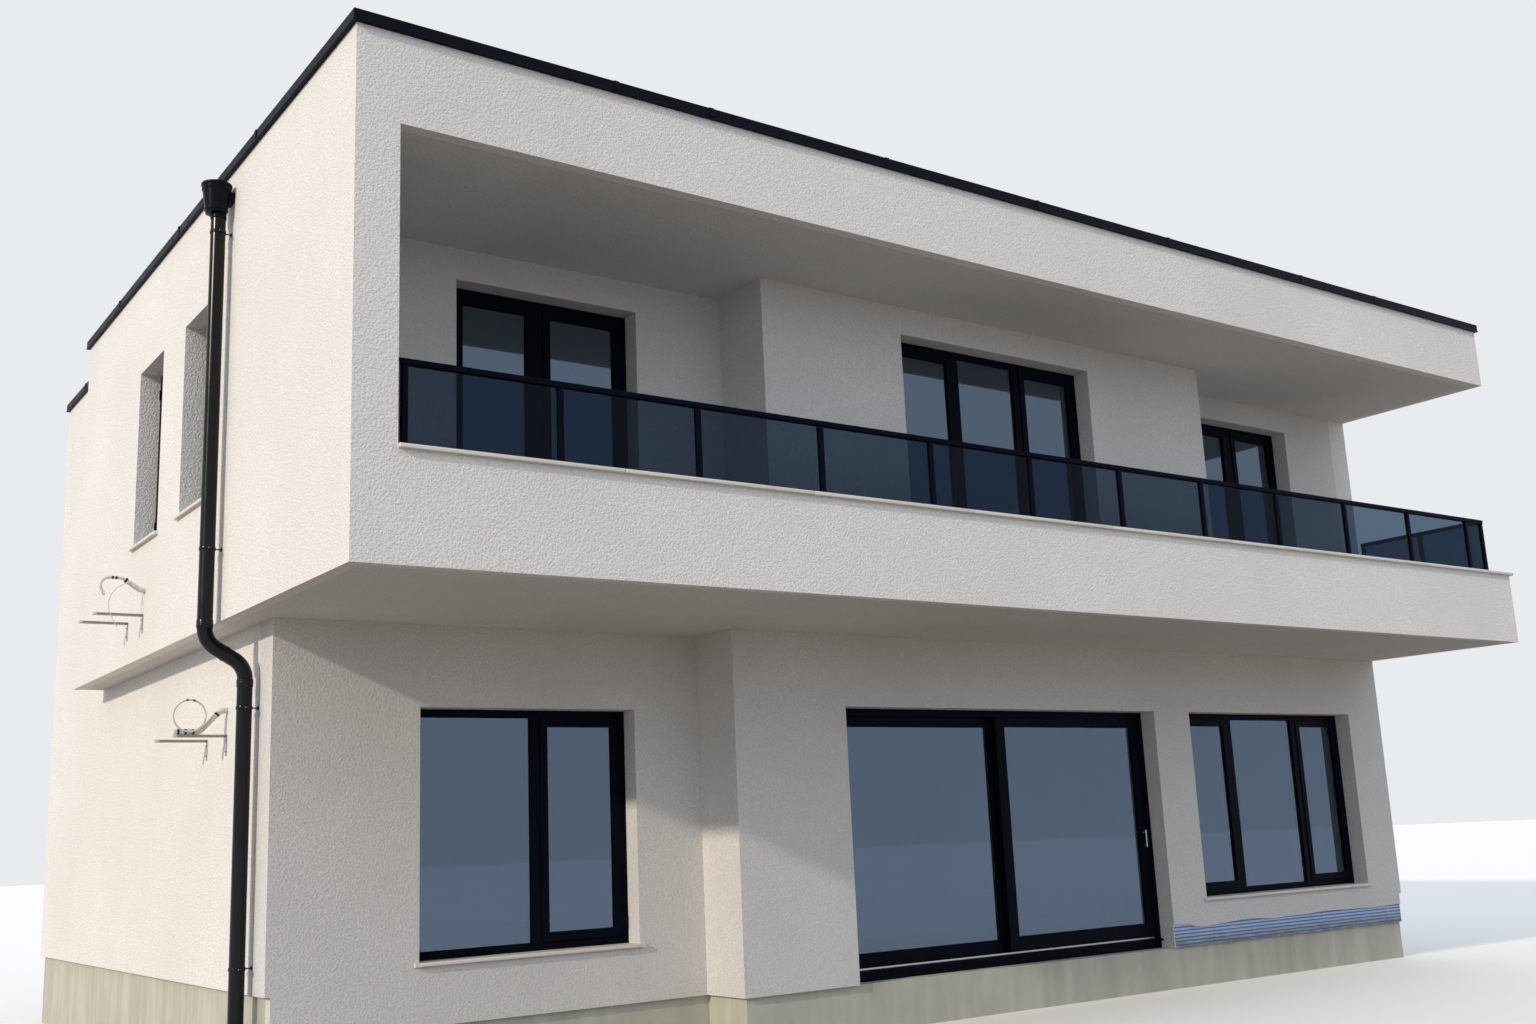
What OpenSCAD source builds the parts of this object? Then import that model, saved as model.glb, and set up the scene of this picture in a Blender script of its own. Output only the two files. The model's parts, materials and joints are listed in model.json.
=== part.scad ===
// Two-storey detached house with a flat roof. The upper storey is a rendered box that
// oversails a set-back ground floor and opens at the front into a full-width balcony.
// Millimetres. X runs along the front, Y runs to the rear and Z is up. Plans are drawn from
// the front left corner of the upper box, then moved so that the origin is the centre of
// the whole house's outline on the ground.

/* [Overall size] */
// Width of the upper box, side to side
house_w = 13030; // [12700:10:16000]
// Depth of the upper box, front to rear
house_d = 10060; // [9400:10:12500]
// Thickness of every outer wall, render and insulation included
wall_t = 300; // [280:5:360]
// Insulation and render in front of the slab edges
facing_t = 100; // [60:5:150]
// How far the box stands out past the ground floor's left wall
side_overhang = 300; // [220:10:400]
// Depth of the part of the box that stands out on the left
overhang_d = 7570; // [6600:10:8600]

/* [Levels] */
// Ground floor above the lowest ground
floor_z = 390; // [250:10:600]
// Concrete plinth showing above the ground floor level at the sides and rear
plinth_h = 310; // [150:10:420]
// How far the plinth and the base stand back behind the render
plinth_inset = 40; // [20:5:60]
// Ground floor to the underside of the box
ground_storey_h = 2960; // [2850:10:3600]
// Upper floor, slab and screed together
floor_slab_t = 350; // [250:10:450]
// Balcony parapet above the upper floor, without its cap
parapet_h = 380; // [250:10:600]
// Upper floor to ceiling
upper_storey_h = 2540; // [2440:10:3100]
// Roof slab
roof_slab_t = 320; // [200:10:400]
// Roof covering on the slab
roof_cover_t = 40; // [20:5:100]
// Ceiling to the underside of the roof coping
fascia_h = 630; // [540:10:800]

/* [Front line] */
// Width of the left wing, to the step in the front wall
wing_w = 3940; // [3600:10:4300]
// Ground floor front wall of the left wing behind the box front
wing_front_y = 2330; // [2150:10:2800]
// Ground floor front wall right of the step, and the upper walls beside the bay
main_front_y = 1780; // [1500:10:2000]
// Width of the upper bay between the two recesses
bay_w = 5590; // [5000:10:6200]
// Upper bay's wall behind the box front
bay_front_y = 1150; // [900:10:1350]

/* [Windows] */
// Set-back of every window and door frame behind its wall face
reveal_d = 176; // [120:2:190]
// Depth of a window frame
frame_d = 75; // [60:1:90]
// Face width of the fixed frame
frame_face = 58; // [45:1:80]
// Face width of a mullion
mullion_face = 78; // [60:1:100]
// Face width of an opening sash
sash_face = 70; // [50:1:90]
// How far a sash stands proud of its frame
sash_proud = 9; // [4:1:15]
// Shadow gap round a sash
sash_gap = 4; // [2:1:8]
// Lip at the back of the frame that a sash closes against
sash_lip = 14; // [8:1:20]
// Thickness of a glazing unit
glass_t = 28; // [20:1:44]
// How deep a glazing unit sits in its frame
glass_bite = 14; // [8:1:20]
// Ground window sills above the ground floor
ground_sill_h = 455; // [300:5:900]
// Heads of the ground windows and the terrace door above the ground floor
ground_head_h = 2330; // [2200:5:2600]
// Heads of the upper windows above the upper floor
upper_head_h = 2285; // [2100:5:2400]
// Sills of the upper side and rear windows above the upper floor
upper_sill_h = 680; // [500:5:1000]
// Step under the balcony doors
threshold_h = 50; // [20:5:100]
// Thickness of a sill stone
sill_t = 30; // [20:1:50]
// How far a sill stone stands out of the wall
sill_nose = 35; // [20:1:50]
// Length of a sill stone past each side of its window
sill_ear = 40; // [20:1:80]

/* [Window places] */
// Left ground window: its left edge from the box's left side, its width and its fixed light
left_window_x = 1430; // [1200:10:1700]
left_window_w = 1880; // [1500:10:2100]
left_window_fixed = 953; // [600:1:1200]
// Right ground window: distance of its right edge from the right wall face, and its width
right_window_margin = 600; // [450:10:900]
right_window_w = 2780; // [2400:10:2900]
// Right ground window: width of its left sash opening and of its fixed light
right_window_sash = 746; // [600:1:800]
right_window_fixed = 1046; // [800:1:1100]
// Left balcony door: left edge and width
left_door_x = 1480; // [1200:10:1700]
side_door_w = 1610; // [1400:10:1800]
side_door_leaf = 690; // [600:1:760]
// Centre balcony door: left edge from the bay's left side, width, leaf and fixed light
centre_door_x = 1520; // [1200:10:1700]
centre_door_w = 2400; // [2200:10:2600]
centre_door_leaf = 696; // [600:1:760]
centre_door_fixed = 705; // [600:1:800]
// Right balcony door: distance of its right edge from the right wall face
right_door_margin = 1190; // [900:10:1400]
// Width and front edges of the two narrow windows in each upper side wall
side_window_w = 800; // [600:10:900]
side_window_y = [3067, 4546];
// Width of a rear window, and distance of the outer ones from the corners
rear_window_w = 1880; // [1400:10:2100]
rear_window_margin = 1700; // [1200:10:2200]

/* [Terrace door] */
// Distance of the door from the step in the front wall
door_x = 1170; // [900:10:1400]
// Width of the door frame
door_w = 4000; // [3600:10:4200]
// Face width of the frame's jambs and head
door_frame_face = 60; // [50:1:80]
// Thickness of a door leaf
leaf_t = 60; // [50:1:70]
// Gap between the two leaves' planes
leaf_plane_gap = 12; // [11:1:20]
// Clearance round the moving leaf
leaf_gap = 5; // [5:1:8]
// Face width of a leaf's stiles
leaf_stile = 118; // [90:1:130]
// Face width of a leaf's top and bottom rails
leaf_top_rail = 90; // [70:1:110]
leaf_bottom_rail = 128; // [100:1:150]
// Width by which the fixed leaf's stile stands out beside the moving leaf's
meeting_lap = 45; // [20:1:60]
// Dark base strip under the door, and the metal threshold on it
base_strip_h = 70; // [40:1:90]
threshold_t = 24; // [18:1:30]
// Height and width of the rails that the leaves run on
track_h = 14; // [10:1:18]
track_w = 8; // [6:1:12]
// Depth of the grooves in the frame's head that guide the leaves
guide_depth = 28; // [24:1:35]
// Roller diameter, and the running gap between roller and track
roller_d = 36; // [30:1:44]
roller_gap = 0.3; // [0.2:0.1:0.5]
// Length of the door handle, and its centre above the ground floor
handle_l = 175; // [120:5:250]
handle_z = 1070; // [900:10:1200]

/* [Roof and parapet trim] */
// Height of the roof coping's face, and how far it stands out
coping_h = 85; // [70:5:150]
coping_nose = 35; // [15:1:50]
// Thickness of the balcony parapet
parapet_t = 250; // [200:10:300]
// Thickness of the parapet's cap stone, and how far it stands out
cap_t = 30; // [20:1:50]
cap_nose = 35; // [20:1:50]

/* [Railing] */
// Top of the railing above the cap
rail_h = 590; // [400:10:900]
// Spacing of the posts
post_pitch = 1101; // [900:1:1300]
// Width and depth of a post
post_w = 40; // [36:1:60]
post_d = 40; // [30:1:50]
// Height and depth of the top rail
rail_t = 40; // [30:1:50]
rail_d = 50; // [40:1:60]
// Centre line of the railing behind the parapet's outer face, at the front and at the right
rail_inset = 120; // [80:1:170]
return_inset = 230; // [140:2:250]
// Gap between the railing's end and the wall at the right side
return_gap = 200; // [20:5:400]
// First post's centre from the inner side of the box's left wall
first_post = 85; // [40:1:200]
// Railing glass thickness, and the gap below it
pane_t = 10; // [6:1:14]
pane_gap = 15; // [5:1:40]

/* [Rainwater] */
// Outer diameter and wall of the downpipe
pipe_d = 110; // [80:2:120]
pipe_wall = 3; // [2:0.5:5]
// Downpipe's centre line in front of the wall, and its distance from the box front
pipe_standoff = 104; // [104:1:120]
pipe_y = 2630; // [2450:10:2800]
// Bend angle and centre line radius of the swan neck under the box
neck_angle = 60; // [45:1:70]
neck_r = 170; // [120:5:200]
// Top of the swan neck below the underside of the box
neck_drop = 50; // [20:5:100]
// Hopper head: rim diameter, how far its cone hangs further out than the pipe, total height
// and top above the ceiling level
hopper_d = 230; // [200:2:236]
hopper_out = 20; // [16:1:22]
hopper_h = 280; // [200:5:320]
hopper_top = 500; // [460:5:560]
// Width and height of the spout through the parapet wall
spout_w = 120; // [80:5:140]
spout_h = 80; // [60:5:100]

/* [Wall brackets] */
// Reach and leg length of a bracket
bracket_reach = 400; // [350:10:500]
bracket_leg = 160; // [120:5:400]
// Width, web depth and thickness of its steel angle
bracket_w = 36; // [30:1:50]
bracket_web = 20; // [15:1:40]
bracket_t = 4; // [3:1:8]
// Spacing of a pair
bracket_pitch = 525; // [450:5:700]
// Upper pair: front bracket from the box front, and height above the upper floor
upper_bracket_y = 4900; // [4600:10:6000]
upper_bracket_h = 20; // [20:5:400]
// Lower pair: front bracket from the box front, and height above the ground floor
lower_bracket_y = 3400; // [3000:10:4200]
lower_bracket_h = 2195; // [1900:1:2400]
// Diameters of an insulated pipe tail, of its bare end and of the thin pipe beside it
tail_d = 42; // [30:1:50]
tail_end_d = 24; // [12:1:30]
thin_pipe_d = 8; // [5:1:12]
// Height at which each tail leaves the wall above the arms
upper_tail_h = 205; // [150:5:300]
lower_tail_h = 190; // [150:5:300]

/* [Hidden] */
$fn = 48;

render_white = "#f0ece2";
render_grey = "#dcd7cf";
concrete = "#9c9d96";
stone = "#d9d2c3";
anthracite = "#23272d";
dark_metal = "#2a2d31";
tinted_glass = "#2f4254";
window_glass = "#34434f";
insulation_blue = "#4e86b4";
zinc = "#8d9297";

// Small overlap that keeps cut faces clear of the faces they cut
cut = 1;

// Levels above the lowest ground
plinth_z = floor_z + plinth_h;
soffit_z = floor_z + ground_storey_h;
upper_floor_z = soffit_z + floor_slab_t;
parapet_z = upper_floor_z + parapet_h;
cap_z = parapet_z + cap_t;
ceiling_z = upper_floor_z + upper_storey_h;
roof_slab_z = ceiling_z + roof_slab_t;
roof_z = roof_slab_z + roof_cover_t;
coping_z = ceiling_z + fascia_h;
ground_head_z = floor_z + ground_head_h;

// Plan lines
bay_x = wing_w;
bay_end_x = bay_x + bay_w;
main_inner_y = main_front_y + wall_t;
right_inner_x = house_w - wall_t;
rear_inner_y = house_d - wall_t;
ground_left_inner_x = side_overhang + wall_t;
terrace_door_x = wing_w + door_x;
terrace_door_end_x = terrace_door_x + door_w;
right_window_x = house_w - right_window_margin - right_window_w;
right_door_x = house_w - right_door_margin - side_door_w;
centre_x = bay_x + centre_door_x;

// Middle of the whole outline, which the bracket tips, the cap and the coping bound
low_x = -bracket_reach;
high_x = house_w + max(cap_nose, coping_nose);
low_y = -max(cap_nose, coping_nose);
high_y = house_d + max(coping_nose, sill_nose);
middle = [(low_x + high_x) / 2, (low_y + high_y) / 2, 0];

module placed() {
    translate(-middle) children();
}

// A box from its lowest to its highest corner
module block(low, high) {
    translate(low) cube(high - low);
}

// Outline of the upper box, moved in by an inset
function box_outline(inset) = [
    [inset, inset],
    [house_w - inset, inset],
    [house_w - inset, house_d - inset],
    [side_overhang + inset, house_d - inset],
    [side_overhang + inset, overhang_d - inset],
    [inset, overhang_d - inset]
];

// Outline of the ground floor, moved in by an inset
function ground_outline(inset) = [
    [side_overhang + inset, wing_front_y + inset],
    [wing_w + inset, wing_front_y + inset],
    [wing_w + inset, main_front_y + inset],
    [house_w - inset, main_front_y + inset],
    [house_w - inset, house_d - inset],
    [side_overhang + inset, house_d - inset]
];

module floor_slab_form() {
    translate([0, 0, soffit_z]) linear_extrude(floor_slab_t) polygon(box_outline(facing_t));
}

module roof_slab_form() {
    translate([0, 0, ceiling_z]) linear_extrude(roof_slab_t) polygon(box_outline(facing_t));
}

// An upper wall keeps only a facing in front of the slab edges, which bear on it
module slab_bearing() {
    difference() {
        children();
        floor_slab_form();
        roof_slab_form();
    }
}

// Turns a unit that is drawn on the front wall plane onto the left, right or rear wall.
// The unit's X runs to the viewer's right and its Y runs into the wall.
module on_front(x, y, z) {
    translate([x, y, z]) children();
}

module on_left(x, y_front, w, z) {
    translate([x, y_front + w, z]) rotate([0, 0, -90]) children();
}

module on_right(y_front, z) {
    translate([house_w, y_front, z]) rotate([0, 0, 90]) children();
}

module on_rear(x, w, z) {
    translate([x + w, house_d, z]) rotate([0, 0, 180]) children();
}

// Window openings as [width, height] holes through a wall, with room for the sill stone
module window_hole(w, h) {
    translate([0, -cut, -sill_t]) cube([w, wall_t + 2 * cut, h + sill_t]);
}

module door_hole(w, h) {
    translate([0, -cut, 0]) cube([w, wall_t + 2 * cut, h]);
}

ground_window_h = ground_head_h - ground_sill_h;
upper_window_h = upper_head_h - upper_sill_h;
balcony_door_h = upper_head_h - threshold_h;

// Each window unit is [width, height, clear widths of its lights but the last, sash flags]
left_window = [left_window_w, ground_window_h, [left_window_fixed], [false, true]];
right_window = [right_window_w, ground_window_h, [right_window_sash, right_window_fixed],
    [true, false, true]];
side_door = [side_door_w, balcony_door_h, [side_door_leaf], [true, true]];
centre_door = [centre_door_w, balcony_door_h, [centre_door_leaf, centre_door_fixed],
    [true, false, true]];
side_window = [side_window_w, upper_window_h, [], [true]];
rear_lower = [rear_window_w, ground_window_h, [left_window_fixed], [false, true]];
rear_upper = [rear_window_w, upper_window_h, [left_window_fixed], [false, true]];

// Left edge of light number i
function light_start(unit, i) =
    i == 0 ? frame_face : light_start(unit, i - 1) + unit[2][i - 1] + mullion_face;

function light_end(unit, i) =
    i < len(unit[2]) ? light_start(unit, i) + unit[2][i] : unit[0] - frame_face;

// The glazing units of a window, one per light, seated in their grooves
module unit_glass(unit) {
    for (i = [0 : len(unit[3]) - 1]) {
        edge = unit[3][i] ? sash_face - glass_bite : -glass_bite;
        front = unit[3][i] ? (frame_d - glass_t) / 2 - sash_proud : (frame_d - glass_t) / 2;
        block([light_start(unit, i) + edge, front, frame_face + edge],
            [light_end(unit, i) - edge, front + glass_t, unit[1] - frame_face - edge]);
    }
}

// One sash: a ring that closes against the lip at the back of the frame
module sash(unit, i) {
    low = [light_start(unit, i) + sash_gap, -sash_proud, frame_face + sash_gap];
    high = [light_end(unit, i) - sash_gap, frame_d - sash_lip, unit[1] - frame_face - sash_gap];
    face = sash_face - sash_gap;
    difference() {
        block(low, high);
        block(low + [face, -cut, face], high - [face, -cut, face]);
    }
}

module unit_frame(unit) {
    difference() {
        union() {
            difference() {
                cube([unit[0], frame_d, unit[1]]);
                for (i = [0 : len(unit[3]) - 1]) {
                    low = [light_start(unit, i), -cut, frame_face];
                    high = [light_end(unit, i), frame_d + cut, unit[1] - frame_face];
                    lip = unit[3][i] ? sash_lip : 0;
                    block(low + [lip, 0, lip], high - [lip, 0, lip]);
                    if (unit[3][i]) block(low, [high[0], frame_d - sash_lip, high[2]]);
                }
            }
            for (i = [0 : len(unit[3]) - 1]) if (unit[3][i]) sash(unit, i);
        }
        unit_glass(unit);
    }
}

// Sill stone, with ears only in front of the wall face
module sill(w) {
    translate([0, 0, -sill_t]) cube([w, wall_t, sill_t]);
    translate([-sill_ear, -sill_nose, -sill_t]) cube([w + 2 * sill_ear, sill_nose, sill_t]);
}

// Children go to each place, child 0 with the first unit of the list and so on
module ground_front_places(units) {
    on_front(left_window_x, wing_front_y, floor_z + ground_sill_h) children(0);
    on_front(right_window_x, main_front_y, floor_z + ground_sill_h) children(1);
}

module balcony_places(z) {
    on_front(left_door_x, main_front_y, z) children(0);
    on_front(centre_x, bay_front_y, z) children(1);
    on_front(right_door_x, main_front_y, z) children(0);
}

module left_side_places() {
    for (y = side_window_y) {
        on_left(0, y, side_window_w, upper_floor_z + upper_sill_h) children();
    }
}

module right_side_places() {
    for (y = side_window_y) on_right(y, upper_floor_z + upper_sill_h) children();
}

rear_window_x = [side_overhang + rear_window_margin,
    house_w - rear_window_margin - rear_window_w];

module rear_lower_places() {
    for (x = rear_window_x) {
        on_rear(x, rear_window_w, floor_z + ground_sill_h) children();
    }
}

module rear_upper_places() {
    for (x = rear_window_x) {
        on_rear(x, rear_window_w, upper_floor_z + upper_sill_h) children();
    }
}

// Base and ground floor walls

module base_slab() {
    color(concrete) linear_extrude(floor_z) polygon(ground_outline(plinth_inset));
}

// Plinth wall under the left, rear and right walls. At the front it stops behind the facing
// of the front walls, which stand on the base itself.
module plinth_form() {
    translate([0, 0, floor_z]) linear_extrude(plinth_h) difference() {
        polygon(ground_outline(plinth_inset));
        polygon(ground_outline(wall_t));
        translate([side_overhang, 0])
            square([wing_w - side_overhang, wing_front_y + facing_t]);
        translate([ground_left_inner_x, 0])
            square([wing_w - ground_left_inner_x + wall_t, wing_front_y + wall_t]);
        translate([wing_w - cut, 0]) square([house_w, main_front_y + facing_t]);
        translate([wing_w - cut, 0]) square([right_inner_x - wing_w + cut, main_inner_y]);
    }
}

module plinth_upstand() {
    color(concrete) plinth_form();
}

// A front wall steps in over the plinth at its outer end, and covers the plinth's end
module over_plinth(end_low_x) {
    difference() {
        children();
        block([end_low_x, 0, floor_z - cut],
            [end_low_x + plinth_inset + cut, wing_front_y + wall_t + cut, plinth_z]);
        plinth_form();
    }
}

// Bare insulation boards at the foot of the front wall, right of the terrace door
band_h = 230;
band_t = 60;
band_recess = 12;

module base_band_form() {
    block([terrace_door_end_x + band_recess, main_front_y + band_recess, floor_z],
        [house_w - plinth_inset, main_front_y + band_recess + band_t, floor_z + band_h]);
}

// The pocket is open to the wall face, so the boards show under the edge of the render
module base_band_pocket() {
    block([terrace_door_end_x - cut, main_front_y - cut, floor_z - cut],
        [house_w + cut, main_front_y + band_recess, floor_z + band_h]);
    base_band_form();
}

module base_insulation() {
    color(insulation_blue) base_band_form();
}

module ground_wall_left() {
    color(render_white) block([side_overhang, wing_front_y + wall_t, plinth_z],
        [ground_left_inner_x, house_d, soffit_z]);
}

module ground_wall_rear() {
    color(render_white) difference() {
        block([ground_left_inner_x, rear_inner_y, plinth_z], [right_inner_x, house_d, soffit_z]);
        rear_lower_places() window_hole(rear_window_w, ground_window_h);
    }
}

module ground_wall_right() {
    color(render_white) block([right_inner_x, main_inner_y, plinth_z],
        [house_w, house_d, soffit_z]);
}

module ground_wall_front_left() {
    color(render_grey) over_plinth(side_overhang - cut) difference() {
        block([side_overhang, wing_front_y, floor_z],
            [wing_w, wing_front_y + wall_t, soffit_z]);
        on_front(left_window_x, wing_front_y, floor_z + ground_sill_h)
            window_hole(left_window_w, ground_window_h);
    }
}

// The pier turns back along the step to meet the left wing's wall
module ground_door_pier() {
    color(render_grey) {
        block([wing_w, main_front_y, floor_z], [terrace_door_x, main_inner_y, soffit_z]);
        block([wing_w, main_front_y, floor_z],
            [wing_w + wall_t, wing_front_y + wall_t, soffit_z]);
    }
}

module ground_door_lintel() {
    color(render_grey) block([terrace_door_x, main_front_y, ground_head_z],
        [terrace_door_end_x, main_inner_y, soffit_z]);
}

module ground_wall_front_right() {
    color(render_grey) over_plinth(house_w - plinth_inset) difference() {
        block([terrace_door_end_x, main_front_y, floor_z], [house_w, main_inner_y, soffit_z]);
        on_front(right_window_x, main_front_y, floor_z + ground_sill_h)
            window_hole(right_window_w, ground_window_h);
        base_band_pocket();
    }
}

// Upper floor and balcony

module upper_floor_slab() {
    color(render_grey) floor_slab_form();
}

module balcony_parapet() {
    color(render_white) difference() {
        union() {
            block([wall_t, 0, soffit_z], [house_w, parapet_t, parapet_z]);
            block([house_w - parapet_t, 0, soffit_z], [house_w, main_front_y, parapet_z]);
        }
        floor_slab_form();
    }
}

module parapet_cap() {
    color(stone) {
        block([wall_t, -cap_nose, parapet_z],
            [house_w + cap_nose, parapet_t + cap_nose, cap_z]);
        block([house_w - parapet_t - cap_nose, -cap_nose, parapet_z],
            [house_w + cap_nose, main_front_y, cap_z]);
    }
}

// Upper walls

module box_left_wall() {
    color(render_white) slab_bearing() difference() {
        block([0, 0, soffit_z], [wall_t, overhang_d, coping_z]);
        left_side_places() window_hole(side_window_w, upper_window_h);
        roof_spout_form(0);
    }
}

module upper_wall_rear_left() {
    color(render_white) slab_bearing() union() {
        block([side_overhang, overhang_d, soffit_z],
            [side_overhang + wall_t, rear_inner_y, coping_z]);
        block([wall_t, overhang_d - wall_t, upper_floor_z],
            [side_overhang + wall_t, overhang_d, coping_z]);
    }
}

module upper_wall_rear() {
    color(render_white) slab_bearing() difference() {
        block([side_overhang, rear_inner_y, soffit_z], [house_w, house_d, coping_z]);
        rear_upper_places() window_hole(rear_window_w, upper_window_h);
    }
}

module upper_wall_right() {
    color(render_white) slab_bearing() difference() {
        block([right_inner_x, main_front_y, soffit_z], [house_w, rear_inner_y, coping_z]);
        right_side_places() window_hole(side_window_w, upper_window_h);
    }
}

module upper_wall_front_left() {
    color(render_grey) difference() {
        block([wall_t, main_front_y, upper_floor_z], [bay_x, main_inner_y, ceiling_z]);
        on_front(left_door_x, main_front_y, upper_floor_z) door_hole(side_door_w, upper_head_h);
    }
}

module upper_wall_front_bay() {
    color(render_grey) difference() {
        union() {
            block([bay_x, bay_front_y, upper_floor_z],
                [bay_end_x, bay_front_y + wall_t, ceiling_z]);
            for (x = [bay_x, bay_end_x - wall_t]) {
                block([x, bay_front_y, upper_floor_z], [x + wall_t, main_inner_y, ceiling_z]);
            }
        }
        on_front(centre_x, bay_front_y, upper_floor_z) door_hole(centre_door_w, upper_head_h);
    }
}

module upper_wall_front_right() {
    color(render_grey) difference() {
        block([bay_end_x, main_front_y, upper_floor_z],
            [right_inner_x, main_inner_y, ceiling_z]);
        on_front(right_door_x, main_front_y, upper_floor_z) door_hole(side_door_w, upper_head_h);
    }
}

// Roof

module roof_slab() {
    color(render_grey) roof_slab_form();
}

module roof_covering() {
    color(dark_metal) translate([0, 0, roof_slab_z]) linear_extrude(roof_cover_t)
        polygon(box_outline(wall_t));
}

module roof_fascia() {
    color(render_white) difference() {
        union() {
            block([wall_t, 0, ceiling_z], [house_w, wall_t, coping_z]);
            block([right_inner_x, 0, ceiling_z], [house_w, main_front_y, coping_z]);
        }
        roof_slab_form();
    }
}

module roof_coping() {
    color(anthracite) translate([0, 0, coping_z]) linear_extrude(coping_h) difference() {
        polygon(box_outline(-coping_nose));
        polygon(box_outline(wall_t + coping_nose));
    }
}

// Open-ended metal box that drains the roof through the left wall into the hopper head.
// With no wall thickness it is the hole that it lies in.
spout_wall = 3;
spout_reach = 60;

module roof_spout_form(reach) {
    block([-reach - cut, pipe_y - spout_w / 2, roof_z],
        [wall_t + cut, pipe_y + spout_w / 2, roof_z + spout_h]);
}

module roof_spout() {
    color(zinc) difference() {
        block([-spout_reach, pipe_y - spout_w / 2, roof_z],
            [wall_t, pipe_y + spout_w / 2, roof_z + spout_h]);
        block([-spout_reach - cut, pipe_y - spout_w / 2 + spout_wall, roof_z + spout_wall],
            [wall_t + cut, pipe_y + spout_w / 2 - spout_wall, roof_z + spout_h - spout_wall]);
    }
}

// Rainwater goods on the left side

hopper_wall = 3;
hopper_z = ceiling_z + hopper_top - hopper_h;
// Foot of the hopper's cone above its collar's foot, and the step from the pipe to the cone
cone_z = 40;
cone_step = 23;
// The cone ends in a band under a rolled rim
rim_h = 45;
rim_lip = 8;
rib = 4;
ground_face_x = side_overhang;
neck_top_z = soffit_z - neck_drop;
// The sloping stretch makes up what the two bends leave of the sideways step
neck_slope_l = (side_overhang - 2 * neck_r * (1 - cos(neck_angle))) / sin(neck_angle);
neck_h = 2 * neck_r * sin(neck_angle) + neck_slope_l * cos(neck_angle);
neck_bottom_z = neck_top_z - neck_h;
// Butt joint between a bend and the sloping pipe
joint_gap = 0.5;
collar_h = 60;
collar_t = 4;

module at_upper_pipe(z) {
    translate([-pipe_standoff, pipe_y, z]) children();
}

module at_lower_pipe(z) {
    translate([ground_face_x - pipe_standoff, pipe_y, z]) children();
}

module tube(d, wall, h) {
    difference() {
        cylinder(d = d, h = h);
        translate([0, 0, -cut]) cylinder(d = d - 2 * wall, h = h + 2 * cut);
    }
}

cone_low_r = pipe_d / 2 + cone_step;
cone_top_r = hopper_d / 2 - rim_lip;
band_z = hopper_h - rim_h;

// Radius of the hopper's cone at a height
function cone_r(z) = cone_low_r + (cone_top_r - cone_low_r) * (z - cone_z) / (band_z - cone_z);

// A collar on the pipe carries a turned cone with a rib, a band and a rolled rim. The notch in
// the cone's back takes the spout.
module hopper_head() {
    rib_z = hopper_h / 3;
    color(anthracite) at_upper_pipe(hopper_z) difference() {
        union() {
            cylinder(d = pipe_d + 2 * collar_t, h = cone_z + hopper_wall);
            translate([-hopper_out, 0, 0]) rotate_extrude() polygon([
                [0, cone_z], [cone_low_r, cone_z], [cone_r(rib_z - rib), rib_z - rib],
                [cone_r(rib_z) + rib, rib_z], [cone_r(rib_z + rib), rib_z + rib],
                [cone_top_r, band_z], [cone_top_r + rib, band_z],
                [hopper_d / 2 - rib, hopper_h - 3 * rib], [hopper_d / 2, hopper_h - 2 * rib],
                [hopper_d / 2, hopper_h], [cone_top_r, hopper_h],
                [cone_top_r - hopper_wall, band_z],
                [cone_low_r - hopper_wall, cone_z + hopper_wall], [0, cone_z + hopper_wall]
            ]);
        }
        translate([0, 0, -cut])
            cylinder(d = pipe_d - 2 * pipe_wall, h = cone_z + hopper_wall + 2 * cut);
        block([0, -spout_w / 2, roof_z - hopper_z],
            [hopper_d, spout_w / 2, roof_z - hopper_z + spout_h]);
    }
}

module downpipe_upper() {
    color(anthracite) at_upper_pipe(neck_top_z) tube(pipe_d, pipe_wall, hopper_z - neck_top_z);
}

// One bend of the swan neck. It turns in the plane of X and Z about an axis beside the pipe.
module bend(start) {
    rotate([90, 0, 0]) rotate([0, 0, start]) rotate_extrude(angle = neck_angle)
        translate([neck_r, 0]) difference() {
            circle(d = pipe_d);
            circle(d = pipe_d - 2 * pipe_wall);
        }
}

module downpipe_neck() {
    slope_start = [neck_r * (1 - cos(neck_angle)), 0, -neck_r * sin(neck_angle)];
    color(anthracite) at_upper_pipe(neck_top_z) {
        translate([neck_r, 0, 0]) bend(180);
        translate(slope_start) rotate([0, 180 - neck_angle, 0]) translate([0, 0, joint_gap])
            tube(pipe_d, pipe_wall, neck_slope_l - 2 * joint_gap);
        translate([side_overhang - neck_r, 0, -neck_h]) bend(0);
    }
}

module downpipe_lower() {
    color(anthracite) at_lower_pipe(0) tube(pipe_d, pipe_wall, neck_bottom_z);
}

// Sockets at the joints of the pipe, and ring clamps with a stem into the wall
clamp_h = 26;
clamp_t = 4;
stem_d = 14;
upper_clamp_z = [upper_floor_z + 170, ceiling_z + 100];
lower_clamp_z = [floor_z + 486, neck_bottom_z - 220];

module clamp() {
    difference() {
        union() {
            cylinder(d = pipe_d + 2 * clamp_t, h = clamp_h);
            for (side = [-1, 1]) {
                translate([-clamp_t, side > 0 ? pipe_d / 2 : -pipe_d / 2 - 22, 0])
                    cube([2 * clamp_t, 22, clamp_h]);
            }
            translate([0, 0, clamp_h / 2]) rotate([0, 90, 0])
                cylinder(d = stem_d, h = pipe_standoff);
        }
        translate([0, 0, -cut]) cylinder(d = pipe_d, h = clamp_h + 2 * cut);
    }
}

module downpipe_clamps() {
    color(dark_metal) {
        for (z = upper_clamp_z) at_upper_pipe(z) clamp();
        for (z = lower_clamp_z) at_lower_pipe(z) clamp();
        at_upper_pipe(neck_top_z - 2) socket_ring();
        at_lower_pipe(neck_bottom_z - collar_h + 2) socket_ring();
    }
}

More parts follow.
